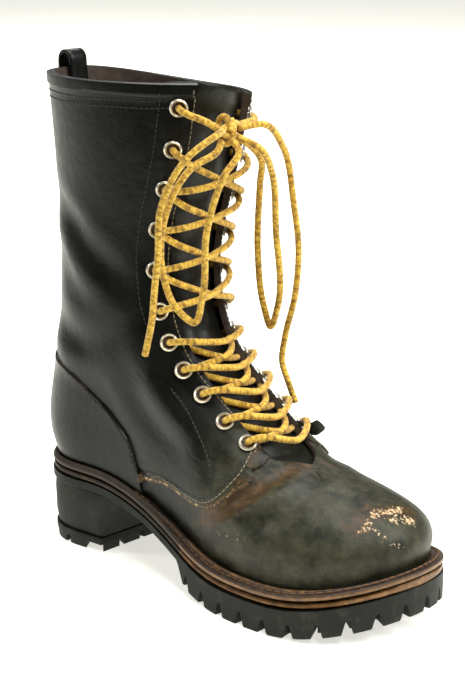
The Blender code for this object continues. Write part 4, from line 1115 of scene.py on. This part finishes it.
def build_knot(outer, inner):
    """The bow's knot: two arms from the top eyelets, a band round them and the turns that hold the loops."""
    lines = []
    for eyelet, side in ((outer[-1], -1.0), (inner[-1], 1.0)):
        end = KNOT_PLACE + np.array([-0.0012, side * 0.0035, 0.0010])
        marks = [*out_of(eyelet, KNOT_PLACE), (eyelet[0] + end) / 2 + np.array([0.004, 0.0, -0.001]), end,
                 KNOT_PLACE + np.array([0.0005, -side * 0.0042, -0.0015])]
        lines.append(line_through(marks, 0.0010))
    angle = np.linspace(0.0, 2 * math.pi * BAND_TURNS, 44)
    across = -0.0012 + 0.0026 * angle / 7.0
    band = np.stack([BAND_FRONT * np.cos(angle), across, BAND_HEIGHT * np.sin(angle)], axis=1)
    lines.append(KNOT_PLACE + band)
    for lift, lean in ((0.0030, 0.0015), (-0.0030, -0.0015)):
        lines.append(line_through([KNOT_PLACE + np.array([0.0022, -0.0068, lift * 0.6 - lean]),
                                   KNOT_PLACE + np.array([0.0036, 0.0, lift]),
                                   KNOT_PLACE + np.array([0.0022, 0.0068, lift * 0.6 + lean])], 0.0010))
    stand_for(cord_mesh("bow_knot", lines), "lace_knot")


# The hanging parts of the lace: the same marks as in the part's source
HANGING_LACES = {
    "lace_loop_outer": (
        (0.1125, -0.0160, 0.2510), (0.1080, -0.0330, 0.2420), (0.0920, -0.0400, 0.2050),
        (0.0930, -0.0400, 0.1810), (0.1010, -0.0380, 0.1640), (0.1110, -0.0340, 0.1570),
        (0.1130, -0.0300, 0.1710), (0.1130, -0.0260, 0.2080), (0.1180, -0.0170, 0.2380),
        (0.1200, -0.0080, 0.2500),
    ),
    "lace_end_outer": (
        (0.1170, -0.0200, 0.2605), (0.1110, -0.0400, 0.2480), (0.0980, -0.0470, 0.2190),
        (0.0980, -0.0490, 0.1950), (0.0960, -0.0500, 0.1760), (0.0950, -0.0510, 0.1600),
        (0.0900, -0.0520, 0.1380),
    ),
    "lace_loop_inner": (
        (0.1125, 0.0095, 0.2500), (0.1110, 0.0200, 0.2410), (0.1040, 0.0270, 0.2250),
        (0.0990, 0.0310, 0.1850), (0.1020, 0.0330, 0.1530), (0.1060, 0.0345, 0.1410),
        (0.1110, 0.0350, 0.1540), (0.1110, 0.0330, 0.1990), (0.1180, 0.0210, 0.2350),
        (0.1225, 0.0060, 0.2500),
    ),
    "lace_end_inner": (
        (0.1180, 0.0140, 0.2620), (0.1160, 0.0330, 0.2470), (0.1150, 0.0440, 0.2120),
        (0.1160, 0.0470, 0.1890), (0.1130, 0.0480, 0.1590), (0.1060, 0.0470, 0.1310),
        (0.1050, 0.0460, 0.1180), (0.1100, 0.0460, 0.1060), (0.1150, 0.0470, 0.0940),
    ),
}


def knot_seat(mark):
    """Where a lace that comes from this mark meets the knot."""
    away = np.array(mark) - KNOT_PLACE
    away /= np.linalg.norm(away)
    return KNOT_PLACE + away * (1.0 / np.linalg.norm(away / KNOT_SIZE) + KNOT_GAP)


def build_hanging_laces():
    for node, marks in HANGING_LACES.items():
        loop = "loop" in node
        marks = [knot_seat(marks[0]), *marks, *([knot_seat(marks[-1])] if loop else [])]
        line = line_through(marks, MARK_STEP)
        obj = cord_mesh("hanging_" + node, [line])
        stand_for(obj, node)


# Floor, light and camera

def build_sheet(name, ends, drop, code, glow):
    """Part of the studio's floor: it runs away from the camera and ends short of it."""
    towards = CAMERA_PLACE - CAMERA_AIM
    towards = Vector((towards.x, towards.y, 0.0)).normalized()
    place = Vector((CAMERA_AIM.x, CAMERA_AIM.y, -drop)) - towards * (SHEET_SIZE / 2 - ends)
    bpy.ops.mesh.primitive_plane_add(
        size=SHEET_SIZE, location=place, rotation=(0.0, 0.0, math.atan2(towards.y, towards.x))
    )
    sheet = bpy.context.object
    sheet.name = name
    made, tree, shader = new_material(name)
    tone = noise(tree, object_place(tree), 1.2, 2.0, 0.5)
    tree.links.new(ramp(tree, tone, ((0.3, code[0]), (0.7, code[1]))), shader.inputs["Base Color"])
    shader.inputs["Roughness"].default_value = 0.9
    shader.inputs["Emission Color"].default_value = colour(code[1])
    shader.inputs["Emission Strength"].default_value = glow
    sheet.data.materials.append(made)


Lamp = namedtuple("Lamp", "name place aim width watts")
LAMPS = (
    Lamp("key", (-1.1, -1.2, 1.3), (0.05, 0.0, 0.15), 0.55, 9.0),
    Lamp("backdrop", (-1.5, 1.2, 1.7), (-1.4, 1.3, 0.0), 1.4, 34.0),
    Lamp("window", (0.95, -0.55, 1.15), (0.20, -0.01, 0.06), 0.30, 5.0),
    Lamp("side", (1.5, 0.6, 1.2), (0.14, 0.0, 0.08), 0.8, 26.0),
    Lamp("top", (0.3, 0.1, 1.9), (0.12, 0.0, 0.06), 1.2, 38.0),
)
WORLD_LIGHT = 0.08
SHEET_GLOW = 0.68


def build_studio():
    build_sheet("cream_backdrop", SHEET_END, 0.0, ("#f4f3e6", "#fbfaf2"), SHEET_GLOW)
    # A dark floor beneath the cream sheet. It shows out of frame in front of the boot so that the leather
    # reflects shade there instead of white.
    build_sheet("dark_floor_for_shaded_reflection", SHEET_SIZE / 2, 0.002, ("#2b2a28", "#33322f"), 0.0)
    world = bpy.data.worlds.new("studio")
    bpy.context.scene.world = world
    world.use_nodes = True
    background = world.node_tree.nodes["Background"]
    background.inputs["Color"].default_value = (1.0, 1.0, 0.985, 1.0)
    background.inputs["Strength"].default_value = WORLD_LIGHT
    bpy.context.scene.view_settings.view_transform = "Standard"
    for lamp in LAMPS:
        light = bpy.data.lights.new(lamp.name, "AREA")
        light.size = lamp.width
        light.energy = lamp.watts
        obj = bpy.data.objects.new(lamp.name, light)
        bpy.context.scene.collection.objects.link(obj)
        obj.location = lamp.place
        obj.rotation_euler = (Vector(lamp.aim) - obj.location).to_track_quat("-Z", "Y").to_euler()
    camera = bpy.data.objects.new("camera", bpy.data.cameras.new("camera"))
    bpy.context.scene.collection.objects.link(camera)
    camera.location = CAMERA_PLACE
    camera.rotation_euler = (CAMERA_AIM - CAMERA_PLACE).to_track_quat("-Z", "Y").to_euler()
    camera.data.lens = PHOTO_LENS_PX * CLOSER / FRAME_LONG_SIDE_PX * SENSOR_MM
    camera.data.sensor_width = SENSOR_MM
    camera.data.clip_start = 0.01
    bpy.context.scene.camera = camera


upper = build_upper()
build_welt_and_midsole()
build_outsole()
build_heel()
build_tongue()
build_pull_loop()
eyelet_places = build_eyelets()
build_curled_tab(eyelet_places["inner"][0])
build_stitching(surface_tree(upper), eyelet_places)
welt_stitches()
build_laces(eyelet_places)
build_hanging_laces()
NODES["insole"].material_slots[0].material = INSOLE
build_studio()
